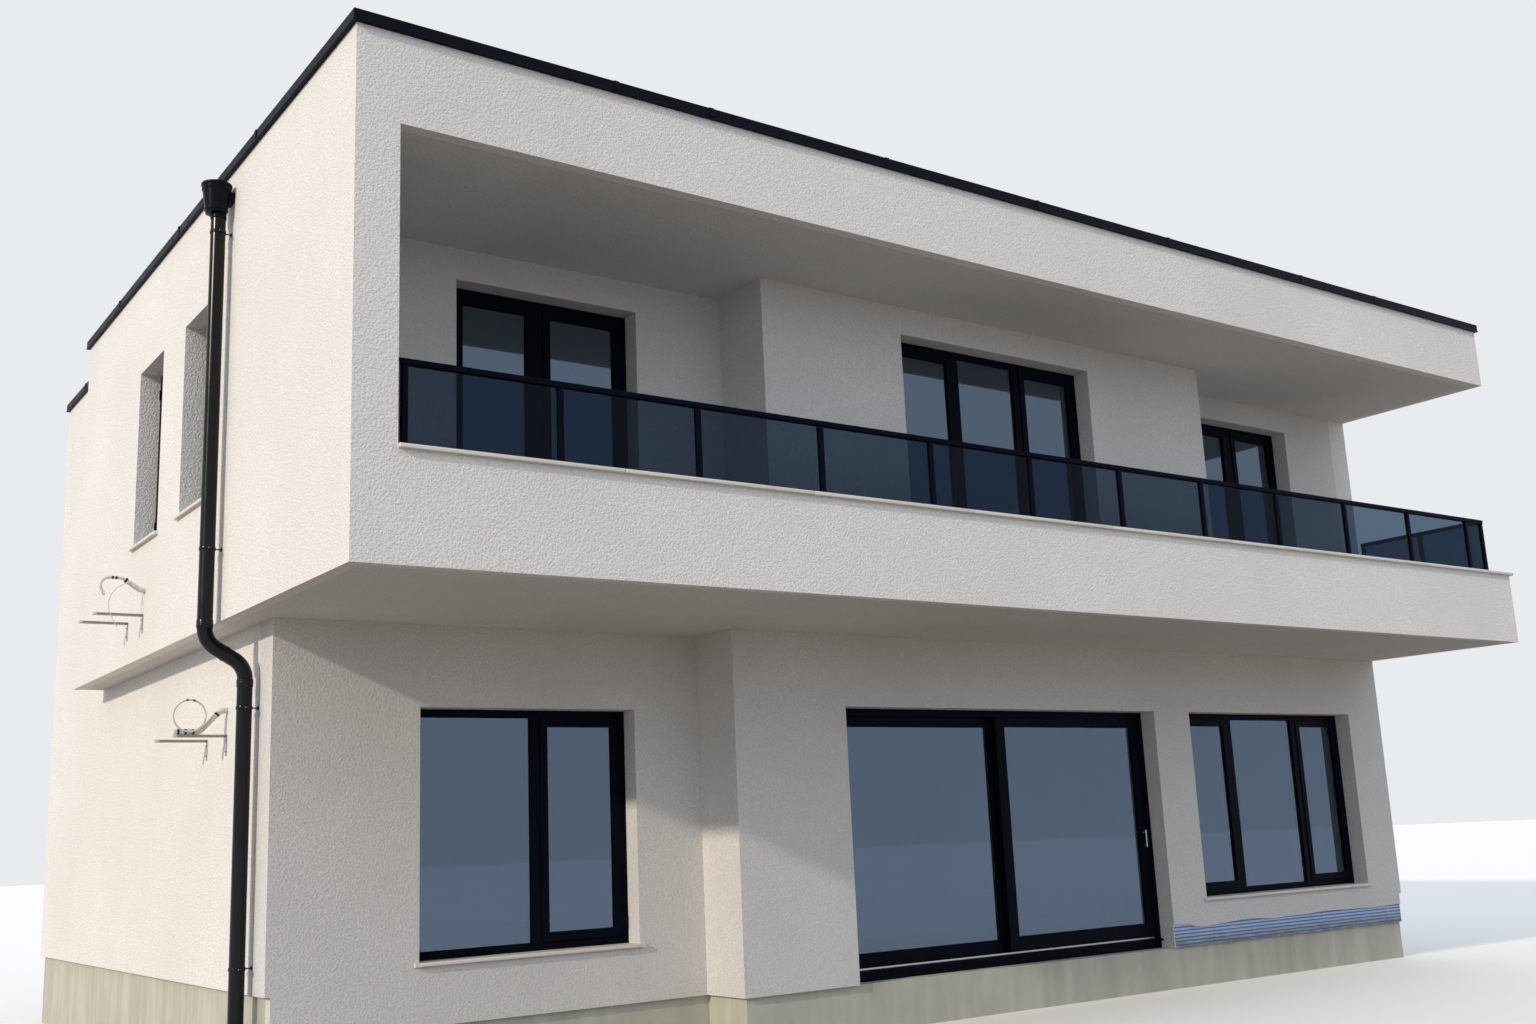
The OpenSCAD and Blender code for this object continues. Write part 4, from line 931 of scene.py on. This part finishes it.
def glaze(node, body="house"):
    """Replaces a node's solid panes by sheets, spacers and gaskets."""
    sheets, spacers, gaskets = [], [], []
    for low, high in solids(node):
        thin, outer, inner, inwards = faces_of(side_of(low, high), low, high)
        for face, coated in ((outer, -inwards), (inner - inwards * SHEET_T, 0)):
            sheets.append(glass_sheet(*grown(low, high, 0, thin, face, face + inwards * SHEET_T),
                                      thin, coated))
        spacers.append(ring("spacer", *grown(low, high, -0.001, thin, outer + inwards * SHEET_T,
                                             inner - inwards * SHEET_T), SPACER_W))
        gasket = ring("gasket", *grown(low, high, -GLASS_BITE * MM, thin,
                                       outer - inwards * GASKET_PROUD, outer), GASKET_W)
        gaskets.append(soften(gasket, 1.4))
    fitted(joined(node + "_sheets", sheets), None, [node], body)
    fitted(joined(node + "_spacers", spacers), ALUMINIUM, (), body)
    fitted(joined(node + "_gaskets", gaskets), RUBBER, (), body)


for node in (*WINDOW_PANES, "door_fixed_glass"):
    glaze(node)
glaze("door_sliding_glass", "sliding_leaf")

# %% [markdown]
# ## Window furniture
#
# The sashes open outwards on two surface hinges each, so the hinge barrels show on the outer side
# of the frame. A barrel is a short turned pin with a cap at each end, between two flat leaves.
# Small slotted caps at the foot of each light hide the drain holes.

# %% Turned pieces, hinges and drain caps
def turned(name, centre, profile, sides=24):
    """A round piece drawn upwards ring by ring; each ring is (radius, height) in mm."""
    deselect()
    radius, height = profile[0]
    bpy.ops.mesh.primitive_circle_add(vertices=sides, radius=radius * MM, fill_type="NGON",
                                      location=centre + Vector((0, 0, height * MM)))
    piece = started(name)
    bpy.ops.object.mode_set(mode="EDIT")
    bpy.ops.mesh.select_mode(type="FACE")
    bpy.ops.mesh.select_all(action="SELECT")
    for next_radius, next_height in profile[1:]:
        pull_out(0, 0, (next_height - height) * MM)
        grow = next_radius / radius
        bpy.ops.transform.resize(value=(grow, grow, 1), center_override=centre)
        radius, height = next_radius, next_height
    bpy.ops.mesh.select_all(action="SELECT")
    bpy.ops.mesh.normals_make_consistent(inside=False)
    deselect()
    return piece


ORIGIN = Vector((0, 0, 0))
barrel = turned("barrel", ORIGIN + Vector((0, -0.007, 0)),
                [(4, -48), (6, -47), (6, -44), (7, -43.5), (7, -1), (6.4, -0.6), (6.4, 0.6),
                 (7, 1), (7, 43.5), (6, 44), (6, 47), (4, 48)], 12)
wings = [soften(block("wing", (x, -0.004, -0.040), (x + 0.026, 0, 0.040)), 1.0, 1)
         for x in (-0.030, 0.004)]
hinge = joined("hinge", [barrel, *wings])
drain_cap = block("drain_cap", (-0.016, -0.004, -0.004), (0.016, 0, 0.004))
pick(drain_cap, "FACE", lambda face: face.normal.y < -0.9)
bpy.ops.mesh.inset(thickness=0.0015, depth=0.0012)
deselect()

lights = [(side_of(low, high), low, high) for node in WINDOW_PANES for low, high in solids(node)]
# In metres: lights of one window stand in one row, with a mullion at most this wide between them
SAME_ROW, MULLION_GAP = 0.2, 0.3


def along_wall(side, point):
    """How far along its wall a point is, to the right as seen from outside."""
    return {"front": point.x, "rear": -point.x, "left": -point.y, "right": point.y}[side]


def has_neighbour(light, direction):
    """Whether another light of the same window is on that side."""
    side, low, high = light
    ends = sorted((along_wall(side, low), along_wall(side, high)))
    for other_side, a, b in lights:
        if other_side != side or abs(a.z + b.z - low.z - high.z) > SAME_ROW:
            continue
        other = sorted((along_wall(side, a), along_wall(side, b)))
        gap = other[0] - ends[1] if direction > 0 else ends[0] - other[1]
        if 0 < gap < MULLION_GAP:
            return True
    return False


# In mm: the heights of the panes that sit in a sash, and how wide a sash is beside its pane
SASH_HEIGHTS, SASH_FACE = (1647, 2007, 1377), 56
# In metres: how far a sash or a fixed light's frame stands out in front of its glass, and how far
# the outer frame round a sash does
FACE_PROUD, OUTER_FRAME_PROUD = 0.0235, 0.0145
# In metres: a hinge above a pane's foot and one below its head, and how deep their leaves sink in
HINGE_UP, HINGE_DOWN, HINGE_SINK = 0.07, 0.08, 0.0005
# In metres: the caps' place beside a light's middle and below its pane, and a sash's foot rail
DRAIN_ASIDE, DRAIN_BELOW, SASH_FOOT = 0.2, 0.018, 0.070
hinges, caps = [], []
for light in lights:
    side, low, high = light
    thin, glass, _, inwards = faces_of(side, low, high)
    is_sash = round((high.z - low.z) / MM) in SASH_HEIGHTS
    face = glass - inwards * (FACE_PROUD - HINGE_SINK)
    turn = TURN_OF_SIDE[side]
    middle = (low + high) / 2
    alone = not (has_neighbour(light, -1) or has_neighbour(light, 1))
    for end in (-1, 1):
        if is_sash and not has_neighbour(light, end) and not (alone and end > 0):
            reach = (high - low)[1 - thin] / 2 + SASH_FACE * MM
            for z in (low.z + HINGE_UP, high.z - HINGE_DOWN):
                place = middle.copy()
                place[thin] = face
                place.z = z
                sideways = Matrix.Rotation(turn, 3, "Z") @ Vector((end * reach, 0, 0))
                hinges.append(copied(hinge, "hinge_copy", place + sideways, turn))
        sideways = Matrix.Rotation(turn, 3, "Z") @ Vector((end * DRAIN_ASIDE, 0, 0))
        place = middle + sideways
        place[thin] = glass - inwards * (OUTER_FRAME_PROUD if is_sash else FACE_PROUD)
        place.z = low.z - (SASH_FOOT if is_sash else 0.0) - DRAIN_BELOW
        caps.append(copied(drain_cap, "drain_copy", place, turn))
discard(hinge, drain_cap)
fitted(joined("sash_hinges", hinges), FRAME_COAT)
fitted(joined("drain_caps", caps), FRAME_COAT)

# %% [markdown]
# The left ground window locks with two small round cylinders on its mullion. Each is a rosette
# with a keyhole plug: a turned piece, laid on its side.

# %% Lock cylinders
rosette = turned("rosette", ORIGIN, [(13, 0), (13, 2), (11.5, 3.5), (8, 4), (8, 6), (7, 7),
                                     (3, 7.2), (2.6, 5.5)], 20)
rosette.data.transform(Matrix.Rotation(math.pi / 2, 4, "X"))
locks = [copied(rosette, "lock_copy", at(2513, 2497, z)) for z in (1773, 1828)]
discard(rosette)
fitted(joined("lock_cylinders", locks), RAIL_COAT)

# %% [markdown]
# ## Balcony railing
#
# Square tube posts stand on foot plates, each held by two bolts. The tinted panes sit in rubber
# channels on the posts' sides, a little above the cap. One post is modelled and copied.

# %% Posts with foot plates and bolts
RAIL_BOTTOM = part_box("railing_top_rail")[0].z
cap_top = CAP_Z * MM
foot_top = cap_top + 0.006
shaft = block("shaft", (-0.020, -0.020, cap_top), (0.020, 0.020, RAIL_BOTTOM))
pick(shaft, "EDGE", lambda edge: abs(edge.verts[0].co.z - edge.verts[1].co.z) > 0.1)
bpy.ops.mesh.bevel(offset=0.0035, segments=3, affect="EDGES")
foot = soften(block("foot", (-0.042, -0.030, cap_top), (0.042, 0.030, foot_top)), 1.5)
bolts = [turned("bolt", Vector((x, 0, foot_top)),
                [(7.5, 0), (7.5, 1.4), (5.5, 1.5), (5.5, 6), (4.4, 7)], 6)
         for x in (-0.031, 0.031)]
post = joined("post", [shaft, foot, *bolts])
posts = []
for low, high in solids("railing_posts"):
    middle = (low + high) / 2
    turn = 0.0 if middle.y < FRONT + 0.2 else math.pi / 2
    posts.append(copied(post, "post_copy", (middle.x, middle.y, 0), turn))
discard(post)
fitted(joined("railing_post_set", posts), RAIL_COAT, ["railing_posts"])

# %% [markdown]
# The hand rail turns the corner in one piece: the front length is cut near its end, and the rear
# face of that last bit is pulled out along the right side. Then all its edges are rounded.

# %% Hand rail
rail_low, rail_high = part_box("railing_top_rail")
RAIL_D = 0.050
hand_rail = block("hand_rail", rail_low, (rail_high.x, rail_low.y + RAIL_D, rail_high.z))
cut_across(hand_rail, 0, [rail_high.x - RAIL_D])
pick(hand_rail, "FACE", lambda face: face.normal.y > 0.9
     and face.calc_center_median().x > rail_high.x - RAIL_D)
pull_out(0, rail_high.y - rail_low.y - RAIL_D, 0)
soften(hand_rail, 6.0, 3)
fitted(hand_rail, RAIL_COAT, ["railing_top_rail"])

# %% [markdown]
# The panes are two sheets of tinted glass laminated together, with ground edges.

# %% Panes and their rubber channels
CHANNEL_T = 0.004
panes, channels = [], []
for low, high in solids("railing_glass"):
    panes.append(soften(block("pane", low, high), 1.0, 1))
    along = 0 if high.x - low.x > high.y - low.y else 1
    across = 1 - along
    for end, inside in ((low, CHANNEL_T), (high, -CHANNEL_T)):
        a, b = low.copy(), high.copy()
        a[along], b[along] = sorted((end[along], end[along] + inside))
        a[across] -= CHANNEL_T
        b[across] += CHANNEL_T
        channels.append(soften(block("channel", a, b), 1.2, 1))
fitted(joined("railing_panes", panes), RAIL_GLASS, ["railing_glass"])
fitted(joined("pane_channels", channels), RUBBER)

# %% [markdown]
# ## Rainwater pipe
#
# Coated steel pipe comes in straight lengths and pressed elbows that plug into each other. A
# straight pipe is a turned shape, with a slightly narrower end where it plugs into the elbow.

# %% Straight pipes
PIPE_Y, PIPE_R, PIPE_SIDES = 2630, 55, 40
UPPER_X, LOWER_X = -104, 196
NECK_TOP, NECK_BOTTOM = 3300, 2930.5
NECK_R, NECK_ANGLE, NECK_SLOPE = 170, math.radians(60), 150.1

upper_pipe = turned("rain_pipe_upper", at(UPPER_X, PIPE_Y, 0),
                    [(PIPE_R - 2, NECK_TOP), (PIPE_R, NECK_TOP + 2), (PIPE_R, 4300),
                     (PIPE_R, 5300), (PIPE_R, 6500)], PIPE_SIDES)
fitted(upper_pipe, PIPE_COAT, ["downpipe_upper"])
lower_pipe = turned("rain_pipe_lower", at(LOWER_X, PIPE_Y, 0),
                    [(PIPE_R, 0), (PIPE_R, 1000), (PIPE_R, 2000), (PIPE_R, NECK_BOTTOM - 2),
                     (PIPE_R - 2, NECK_BOTTOM)], PIPE_SIDES)
fitted(lower_pipe, PIPE_COAT, ["downpipe_lower"])

# %% [markdown]
# The swan neck carries the pipe from the upper box back to the ground floor's wall. A curve with a
# round section would do, but we bend it as it is bent in a press: a disc is spun through 60
# degrees, pushed straight, with a bead halfway, and spun back.

# %% Swan neck by spin, push and spin
deselect()
bpy.ops.mesh.primitive_circle_add(vertices=PIPE_SIDES, radius=PIPE_R * MM, fill_type="NGON",
                                  location=at(UPPER_X, PIPE_Y, NECK_TOP))
neck = started("swan_neck")
bpy.ops.object.mode_set(mode="EDIT")
bpy.ops.mesh.select_mode(type="FACE")
bpy.ops.mesh.select_all(action="SELECT")
bpy.ops.mesh.spin(steps=10, angle=NECK_ANGLE, center=at(UPPER_X + NECK_R, PIPE_Y, NECK_TOP),
                  axis=(0, 1, 0))
slope = Vector((math.sin(NECK_ANGLE), 0, -math.cos(NECK_ANGLE)))
bead_grow = 1.06
for share, grow in ((0.42, 1.0), (0.04, bead_grow), (0.08, 1.0), (0.04, 1 / bead_grow),
                    (0.42, 1.0)):
    pull_out(*(slope * NECK_SLOPE * MM * share))
    if grow != 1.0:
        bpy.ops.transform.resize(value=(grow, grow, grow))
bpy.ops.mesh.spin(steps=10, angle=-NECK_ANGLE,
                  center=at(LOWER_X - NECK_R, PIPE_Y, NECK_BOTTOM), axis=(0, 1, 0))
bpy.ops.mesh.select_all(action="SELECT")
bpy.ops.mesh.remove_doubles(threshold=0.0001)
bpy.ops.mesh.normals_make_consistent(inside=False)
fitted(neck, PIPE_COAT, ["downpipe_neck"])

# %% [markdown]
# A pipe clamp is a steel band in two halves, drawn together by two screws at the lugs, on a
# threaded stem that ends in the wall. The band is a tube given thickness with Solidify. The
# sockets, where one pipe plugs into the next, are turned shapes with rolled beads.

# %% Clamps, sockets and their screws
def clamp_band(radius_mm, height_mm, thick_mm):
    """A band round Z at the origin, with its edges rounded."""
    deselect()
    bpy.ops.mesh.primitive_cylinder_add(vertices=PIPE_SIDES, radius=radius_mm * MM,
                                        depth=height_mm * MM, end_fill_type="NOTHING")
    return soften(thickened(started("band"), thick_mm), 0.9)


band = clamp_band(59, 26, 3.6)
bead = clamp_band(60, 5, 3)
lugs, screws = [], []
for side in (-1, 1):
    y = side * 0.066
    lugs.append(soften(block("lug", (-0.005, y - 0.010, -0.013), (0.005, y + 0.010, 0.013)), 1.2))
    screw = turned("screw", ORIGIN, [(3, -9), (3, 5), (6, 5.2), (6, 9.5), (5, 10.5)], 6)
    screw.data.transform(Matrix.Rotation(-math.pi / 2, 4, "Y"))
    screw.data.transform(Matrix.Translation((0, y, 0)))
    screws.append(screw)
stem = turned("stem", ORIGIN, [(5, 56), (5, 92), (14, 92.5), (15, 95), (15, 104)], 16)
stem.data.transform(Matrix.Rotation(math.pi / 2, 4, "Y"))
clamp = joined("clamp", [band, bead, *lugs, stem])
screw_pair = joined("screw_pair", screws)
clamp_places = [(UPPER_X, 3883), (UPPER_X, 6353), (LOWER_X, 889), (LOWER_X, 2723.5)]
clamps = [copied(clamp, "clamp_copy", at(x, PIPE_Y, z)) for x, z in clamp_places]
pairs = [copied(screw_pair, "screw_copy", at(x, PIPE_Y, z)) for x, z in clamp_places]
discard(clamp, screw_pair)
clamps.append(turned("socket", at(UPPER_X, PIPE_Y, NECK_TOP - 2),
                     [(55, 0), (58, 0), (59, 2), (59, 12), (60.5, 15), (60.5, 20), (59, 23),
                      (59, 54), (57, 60), (55, 60)], PIPE_SIDES))
clamps.append(turned("socket", at(LOWER_X, PIPE_Y, NECK_BOTTOM - 58),
                     [(55, 0), (57, 0), (59, 6), (59, 30), (60.5, 33), (60.5, 38), (59, 41),
                      (59, 46), (60.5, 49), (60.5, 54), (58.5, 58), (55, 60)], PIPE_SIDES))
fitted(joined("pipe_clamps", clamps), PIPE_COAT, ["downpipe_clamps"])
fitted(joined("clamp_screws", pairs), ZINC)

# %% [markdown]
# The hopper head is a cone of folded sheet with two swaged ribs and a rolled rim. It hangs a
# little further out than the pipe, so that its back clears the wall. Its shape is turned from the
# collar up over the rim and down again inside, which gives the sheet its thickness.

# %% Hopper head
HOPPER_Z, HOPPER_OUT = 6460, 20
collar = turned("collar", at(UPPER_X, PIPE_Y, HOPPER_Z),
                [(55, -2), (58.5, 0), (59, 2), (59, 18), (60.5, 20), (60.5, 24), (59, 26),
                 (59, 46)], PIPE_SIDES)
cone = turned("cone", at(UPPER_X - HOPPER_OUT, PIPE_Y, HOPPER_Z),
              [(70, 40), (78, 42), (79, 46), (82, 64), (87.5, 67), (89, 72), (88, 78),
               (85.5, 82), (103, 222), (108, 226), (110, 232), (109, 238), (105.5, 242),
               (107.5, 258), (113, 261), (115, 266), (115, 276), (113, 280), (110, 280),
               (108, 277), (102, 222), (82, 82), (76, 48), (60, 46)], PIPE_SIDES)
fitted(joined("hopper_cone", [collar, cone]), HOPPER_COAT, ["hopper_head"])

# %% [markdown]
# ## Wall brackets and pipe tails
#
# The arms are plain galvanised angles, already right in the frame. What they lack are two bolts in
# each leg and a plastic plug on each tip. The foam sleeves are smooth tubes, so the frame's loose
# triangles are merged in a copy, which can then be shaded smoothly.

# %% Bolts, tip plugs and sleeves
bolt = turned("leg_bolt", ORIGIN, [(11, 0), (11, 1.8), (8, 2), (8, 7.5), (6.5, 8.5), (4, 8.7),
                                   (4, 12), (3, 12.6)], 6)
bolt.data.transform(Matrix.Rotation(-math.pi / 2, 4, "Y"))
leg_bolts = []
for low, high in solids("bracket_legs"):
    for z in (low.z + 0.035, high.z - 0.045):
        leg_bolts.append(copied(bolt, "bolt_copy", (low.x, (low.y + high.y) / 2, z)))
discard(bolt)
fitted(joined("bracket_bolts", leg_bolts), ZINC)

plugs = []
for low, high in solids("bracket_arms"):
    plug = block("plug", (low.x + 0.0005, low.y - 0.0015, low.z - 0.001),
                 (low.x + 0.028, high.y + 0.0015, high.z + 0.0015))
    pick(plug, "FACE", lambda face: face.normal.x < -0.9)
    bpy.ops.mesh.inset(thickness=0.003, depth=0.0)
    plugs.append(soften(plug, 1.0))
fitted(joined("arm_plugs", plugs), FOAM_SLEEVE)

# The copy is a new piece, so it drops the marks and the parent of the frame's node
sleeves = copied(frame["nodes"]["pipe_tails"], "tail_sleeves", (0, 0, 0))
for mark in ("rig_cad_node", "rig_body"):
    if mark in sleeves:
        del sleeves[mark]
sleeves.parent = None
pick(sleeves, "FACE", lambda face: True)
bpy.ops.mesh.remove_doubles(threshold=0.00001)
bpy.ops.mesh.normals_make_consistent(inside=False)
sleeves.data.materials.clear()
sleeves.data.materials.append(FOAM_SLEEVE)
sleeves.data.materials.append(BARE_PIPE)
# The bare ring lies in front of the first y, the thin pipe between the next two, and the bare end
# behind the last one and left of the x
RING_Y, THIN_FRONT_Y, THIN_Y = (at(0, y, 0).y for y in (3378.7, 4820, 4838.7))
BARE_END_X = at(-158, 0, 0).x
for face in sleeves.data.polygons:
    ring_face = face.center.y < RING_Y
    thin_face = THIN_FRONT_Y < face.center.y < THIN_Y
    bare_end = face.center.x < BARE_END_X and face.center.y > THIN_Y
    face.material_index = 1 if ring_face or thin_face or bare_end else 0
fitted(sleeves, None, ["pipe_tails"])

# %% [markdown]
# Bands of dark tape hold the sleeves shut and the bare coil together. Each is the same kind of
# band as a pipe clamp's, only thinner, tipped over and turned to lie round its pipe.

# %% Bands of tape
TAPE_W, TAPE_T = 18, 0.9
# Each band's middle in house millimetres, its lean in degrees and its radius in millimetres
TAPES = (((45, 3400, 2610.5), 0, 21.4), ((-12, 3400, 2610.5), 0, 21.4),
         ((-66, 3400, 2610.5), 0, 21.4), ((219, 3400, 2742.3), -46, 21.6),
         ((41, 3371.5, 2846.4), 15, 7.8), ((-11, 3371.5, 2848.6), -10, 7.8),
         ((-157, 4860, 4002.4), 34, 21.6), ((-236, 4860, 4021.2), 0, 12.8),
         ((-266, 4860, 4021.2), 0, 12.8))
tapes = []
for place, lean, radius in TAPES:
    tape = clamp_band(radius, TAPE_W, TAPE_T)
    tape.data.transform(Matrix.Rotation(math.radians(90 + lean), 4, "Y"))
    tape.data.transform(Matrix.Translation(at(*place)))
    tapes.append(tape)
fitted(joined("sleeve_tapes", tapes), DARK_TAPE)

# %% [markdown]
# ## Bare insulation at the foot of the front wall
#
# The foot of the wall still waits for its render: ribbed blue foam boards, 600 mm apart at the
# joints. The ribs are strips of the face, cut by bisection and pushed in. They are drawn about
# twice as coarse as real ones. Finer ribs fall between the pixels of a whole-house view and turn
# into slanting streaks. The grooves are painted darker, as painted shade. The joints are thin dark
# strips.

# %% Ribbed boards
band_low, band_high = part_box("base_insulation")
boards = block("foam_boards", band_low, band_high)
RIB, RIB_GROOVE, RIB_DEPTH = 0.0336, 0.013, 0.008
BOARD_L, HALF_JOINT = 0.6, 0.0012
cuts = []
level = band_low.z + RIB / 2
while level < band_high.z - RIB_GROOVE - 0.003:
    cuts += [level, level + RIB_GROOVE]
    level += RIB
cut_across(boards, 2, cuts)
grooves = [(a + b) / 2 for a, b in zip(cuts[::2], cuts[1::2])]
pick(boards, "FACE", lambda face: face.normal.y < -0.9
     and min(abs(face.calc_center_median().z - g) for g in grooves) < 0.001)
pull_out(0, RIB_DEPTH, 0)
deselect()
joint = block("joint", (-HALF_JOINT, band_low.y - 0.0006, band_low.z + 0.002),
              (HALF_JOINT, band_low.y + 0.004, band_high.z - 0.002))
soften(joint, 0.4, 1)
joints = [copied(joint, "joint_copy", (band_low.x + BOARD_L * i, 0, 0)) for i in range(1, 7)]
discard(joint)
boards.data.materials.append(FOAM_BLUE)
boards.data.materials.append(FOAM_SHADE_AND_JOINT)
# Groove floors and groove sides take the darker finish, as painted shade.
for face in boards.data.polygons:
    sunk = face.normal.y < -0.9 and face.center.y > band_low.y + RIB_DEPTH / 2
    face.material_index = 1 if sunk or abs(face.normal.z) > 0.9 else 0
fitted(boards, None, ["base_insulation"])
fitted(joined("board_joints", joints), FOAM_SHADE_AND_JOINT)

# %% [markdown]
# The render above the boards ends in a wavy edge, as a trowel leaves it, so a thin lip of render
# hangs over them. It is a strip cut into short lengths, and the corners at its foot are moved: the
# edge eases from one measured height to the next, with small swells on top.

# %% Wavy lip of render
# Each swell is how tight its waves are, where they start and how high they are in mm
wave_seed = random.Random(7)
swells = [(wave_seed.uniform(5, 16), wave_seed.uniform(0, 6.28), wave_seed.uniform(1, 3))
          for _ in range(6)]
# The measured edge in house millimetres, as (x, height)
LIP_EDGE = ((8900, 622), (9040, 621), (9300, 596), (9498, 568), (9900, 586), (10295, 594),
            (10700, 578), (11133, 581), (11600, 592), (12029, 588), (12500, 577), (13100, 585))


def lip_height(x):
    """Height of the render's lower edge, eased between the measured places."""
    for (start, z), (end, next_z) in zip(LIP_EDGE, LIP_EDGE[1:]):
        if start <= x <= end:
            ease = (1 - math.cos(math.pi * (x - start) / (end - start))) / 2
            return z + (next_z - z) * ease
    return LIP_EDGE[-1][1]


WALL_FACE = at(0, MAIN_FRONT_Y, 0).y
lip = block("render_lip", (band_low.x, WALL_FACE + 0.0005, band_high.z - 0.010),
            (band_high.x, band_low.y - 0.0002, band_high.z))
LIP_STEP, LIP_CUTS = 0.03, 128
cut_across(lip, 0, [band_low.x + LIP_STEP * i for i in range(1, LIP_CUTS + 1)])
pick(lip, "FACE", lambda face: False)
for corner in bmesh.from_edit_mesh(lip.data).verts:
    if corner.co.z < band_high.z - 0.005:
        edge = at(0, 0, lip_height((corner.co.x - LEFT) / MM)).z
        edge += sum(size * MM * math.sin(wave * corner.co.x + start)
                    for wave, start, size in swells)
        corner.co.z = min(edge, band_high.z - 0.003)
bmesh.update_edit_mesh(lip.data)
deselect()
fitted(lip, RENDER_GREY)

# %% [markdown]
# ## Roof sheets
#
# Bitumen sheet comes one metre wide and is torched down with a lap of about 100 mm. Each lap shows
# as a low step with bevelled edges. One lap strip is modelled and copied. At the edge the sheet
# runs up the parapet under the coping.

# %% Bitumen field, laps and upstands
roof_low, roof_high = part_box("roof_covering")
field = block("roof_sheet", roof_low, roof_high)
notch_x, notch_y = at(WING_OUT + WALL_T, 0, 0).x, at(0, WING_BACK_Y - WALL_T, 0).y
cut_notch(field, notch_x, notch_y)
bpy.ops.mesh.select_all(action="DESELECT")
bpy.ops.mesh.select_mode(type="EDGE")
bpy.ops.mesh.select_non_manifold()
bpy.ops.mesh.edge_face_add()
bpy.ops.mesh.select_all(action="SELECT")
bpy.ops.mesh.normals_make_consistent(inside=False)
deselect()
LAP_PITCH, LAP_W, LAP_T = 0.9, 0.1, 0.004
lap = block("lap", (0, roof_low.y + 0.002, roof_high.z),
            (LAP_W, roof_high.y - 0.002, roof_high.z + LAP_T))
pick(lap, "EDGE", lambda edge: all(v.co.z > roof_high.z + 0.003 for v in edge.verts))
bpy.ops.mesh.bevel(offset=0.003, segments=2, affect="EDGES")
deselect()
laps = []
x = roof_low.x + LAP_PITCH
while x < roof_high.x - 2 * LAP_W:
    laps.append(copied(lap, "lap_copy", (x, 0, 0)))
    x += LAP_PITCH
discard(lap)
fitted(joined("roof_sheets", [field, *laps]), BITUMEN, ["roof_covering"])

UP_TOP, UP_T = 6.862, 0.006
# In mm: the left upstand stops this far before and behind the pipe's middle, where the spout is
SPOUT_HALF = 65
upstands = []
spout_front, spout_back = (at(0, PIPE_Y + side * SPOUT_HALF, 0).y for side in (-1, 1))
for low, high in (((roof_low.x, roof_low.y), (roof_high.x, roof_low.y + UP_T)),
                  ((roof_high.x - UP_T, roof_low.y), (roof_high.x, roof_high.y)),
                  ((notch_x, roof_high.y - UP_T), (roof_high.x, roof_high.y)),
                  ((roof_low.x, notch_y - UP_T), (notch_x, notch_y)),
                  ((notch_x, notch_y), (notch_x + UP_T, roof_high.y)),
                  ((roof_low.x, roof_low.y), (roof_low.x + UP_T, spout_front)),
                  ((roof_low.x, spout_back), (roof_low.x + UP_T, notch_y))):
    run = block("upstand", (*low, roof_high.z - 0.002), (*high, UP_TOP))
    upstands.append(soften(run, 1.5, 1))
fitted(joined("roof_upstands", upstands), BITUMEN)

# %% [markdown]
# ## Terrace door
#
# The threshold is a black sill with one bright running rail. Its shape is right in the frame, so
# it only gets two finishes, chosen face by face. The pull on the sliding leaf is a slim bright bar
# on two short posts, over a narrow plate that wears the door's own coat.

# %% Threshold finishes and pull
threshold = frame["nodes"]["door_threshold"].data
threshold.materials.append(ALUMINIUM)
threshold_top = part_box("door_threshold")[1].z
# In metres: the top part of the threshold that is running rail
RUNNING_RAIL_H = 0.0135
for face in threshold.polygons:
    face.material_index = 1 if face.center.z > threshold_top - RUNNING_RAIL_H else 0

pull_low, pull_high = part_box("door_handle")
pull_x = (pull_low.x + pull_high.x) / 2
plate = soften(block("plate", (pull_low.x, pull_high.y - 0.008, pull_low.z),
                     (pull_high.x, pull_high.y, pull_high.z)), 2.5, 3)
bar = turned("bar", Vector((pull_x, pull_low.y + 0.010, 0)),
             [(4, pull_low.z / MM + 2), (6, pull_low.z / MM + 4), (6, pull_high.z / MM - 4),
              (4, pull_high.z / MM - 2)], 20)
stubs = []
for z in (pull_low.z + 0.025, pull_high.z - 0.025):
    stub = turned("stub", ORIGIN, [(5.5, 0), (5.5, 4), (4.5, 6), (4.5, 38)], 16)
    stub.data.transform(Matrix.Rotation(math.pi / 2, 4, "X"))
    stub.data.transform(Matrix.Translation((pull_x, pull_high.y - 0.007, z)))
    stubs.append(stub)
plate.data.materials.append(FRAME_COAT)
for bright in (bar, *stubs):
    bright.data.materials.append(ALUMINIUM)
fitted(joined("door_pull", [plate, bar, *stubs]), None, ["door_handle"],
       "sliding_leaf")
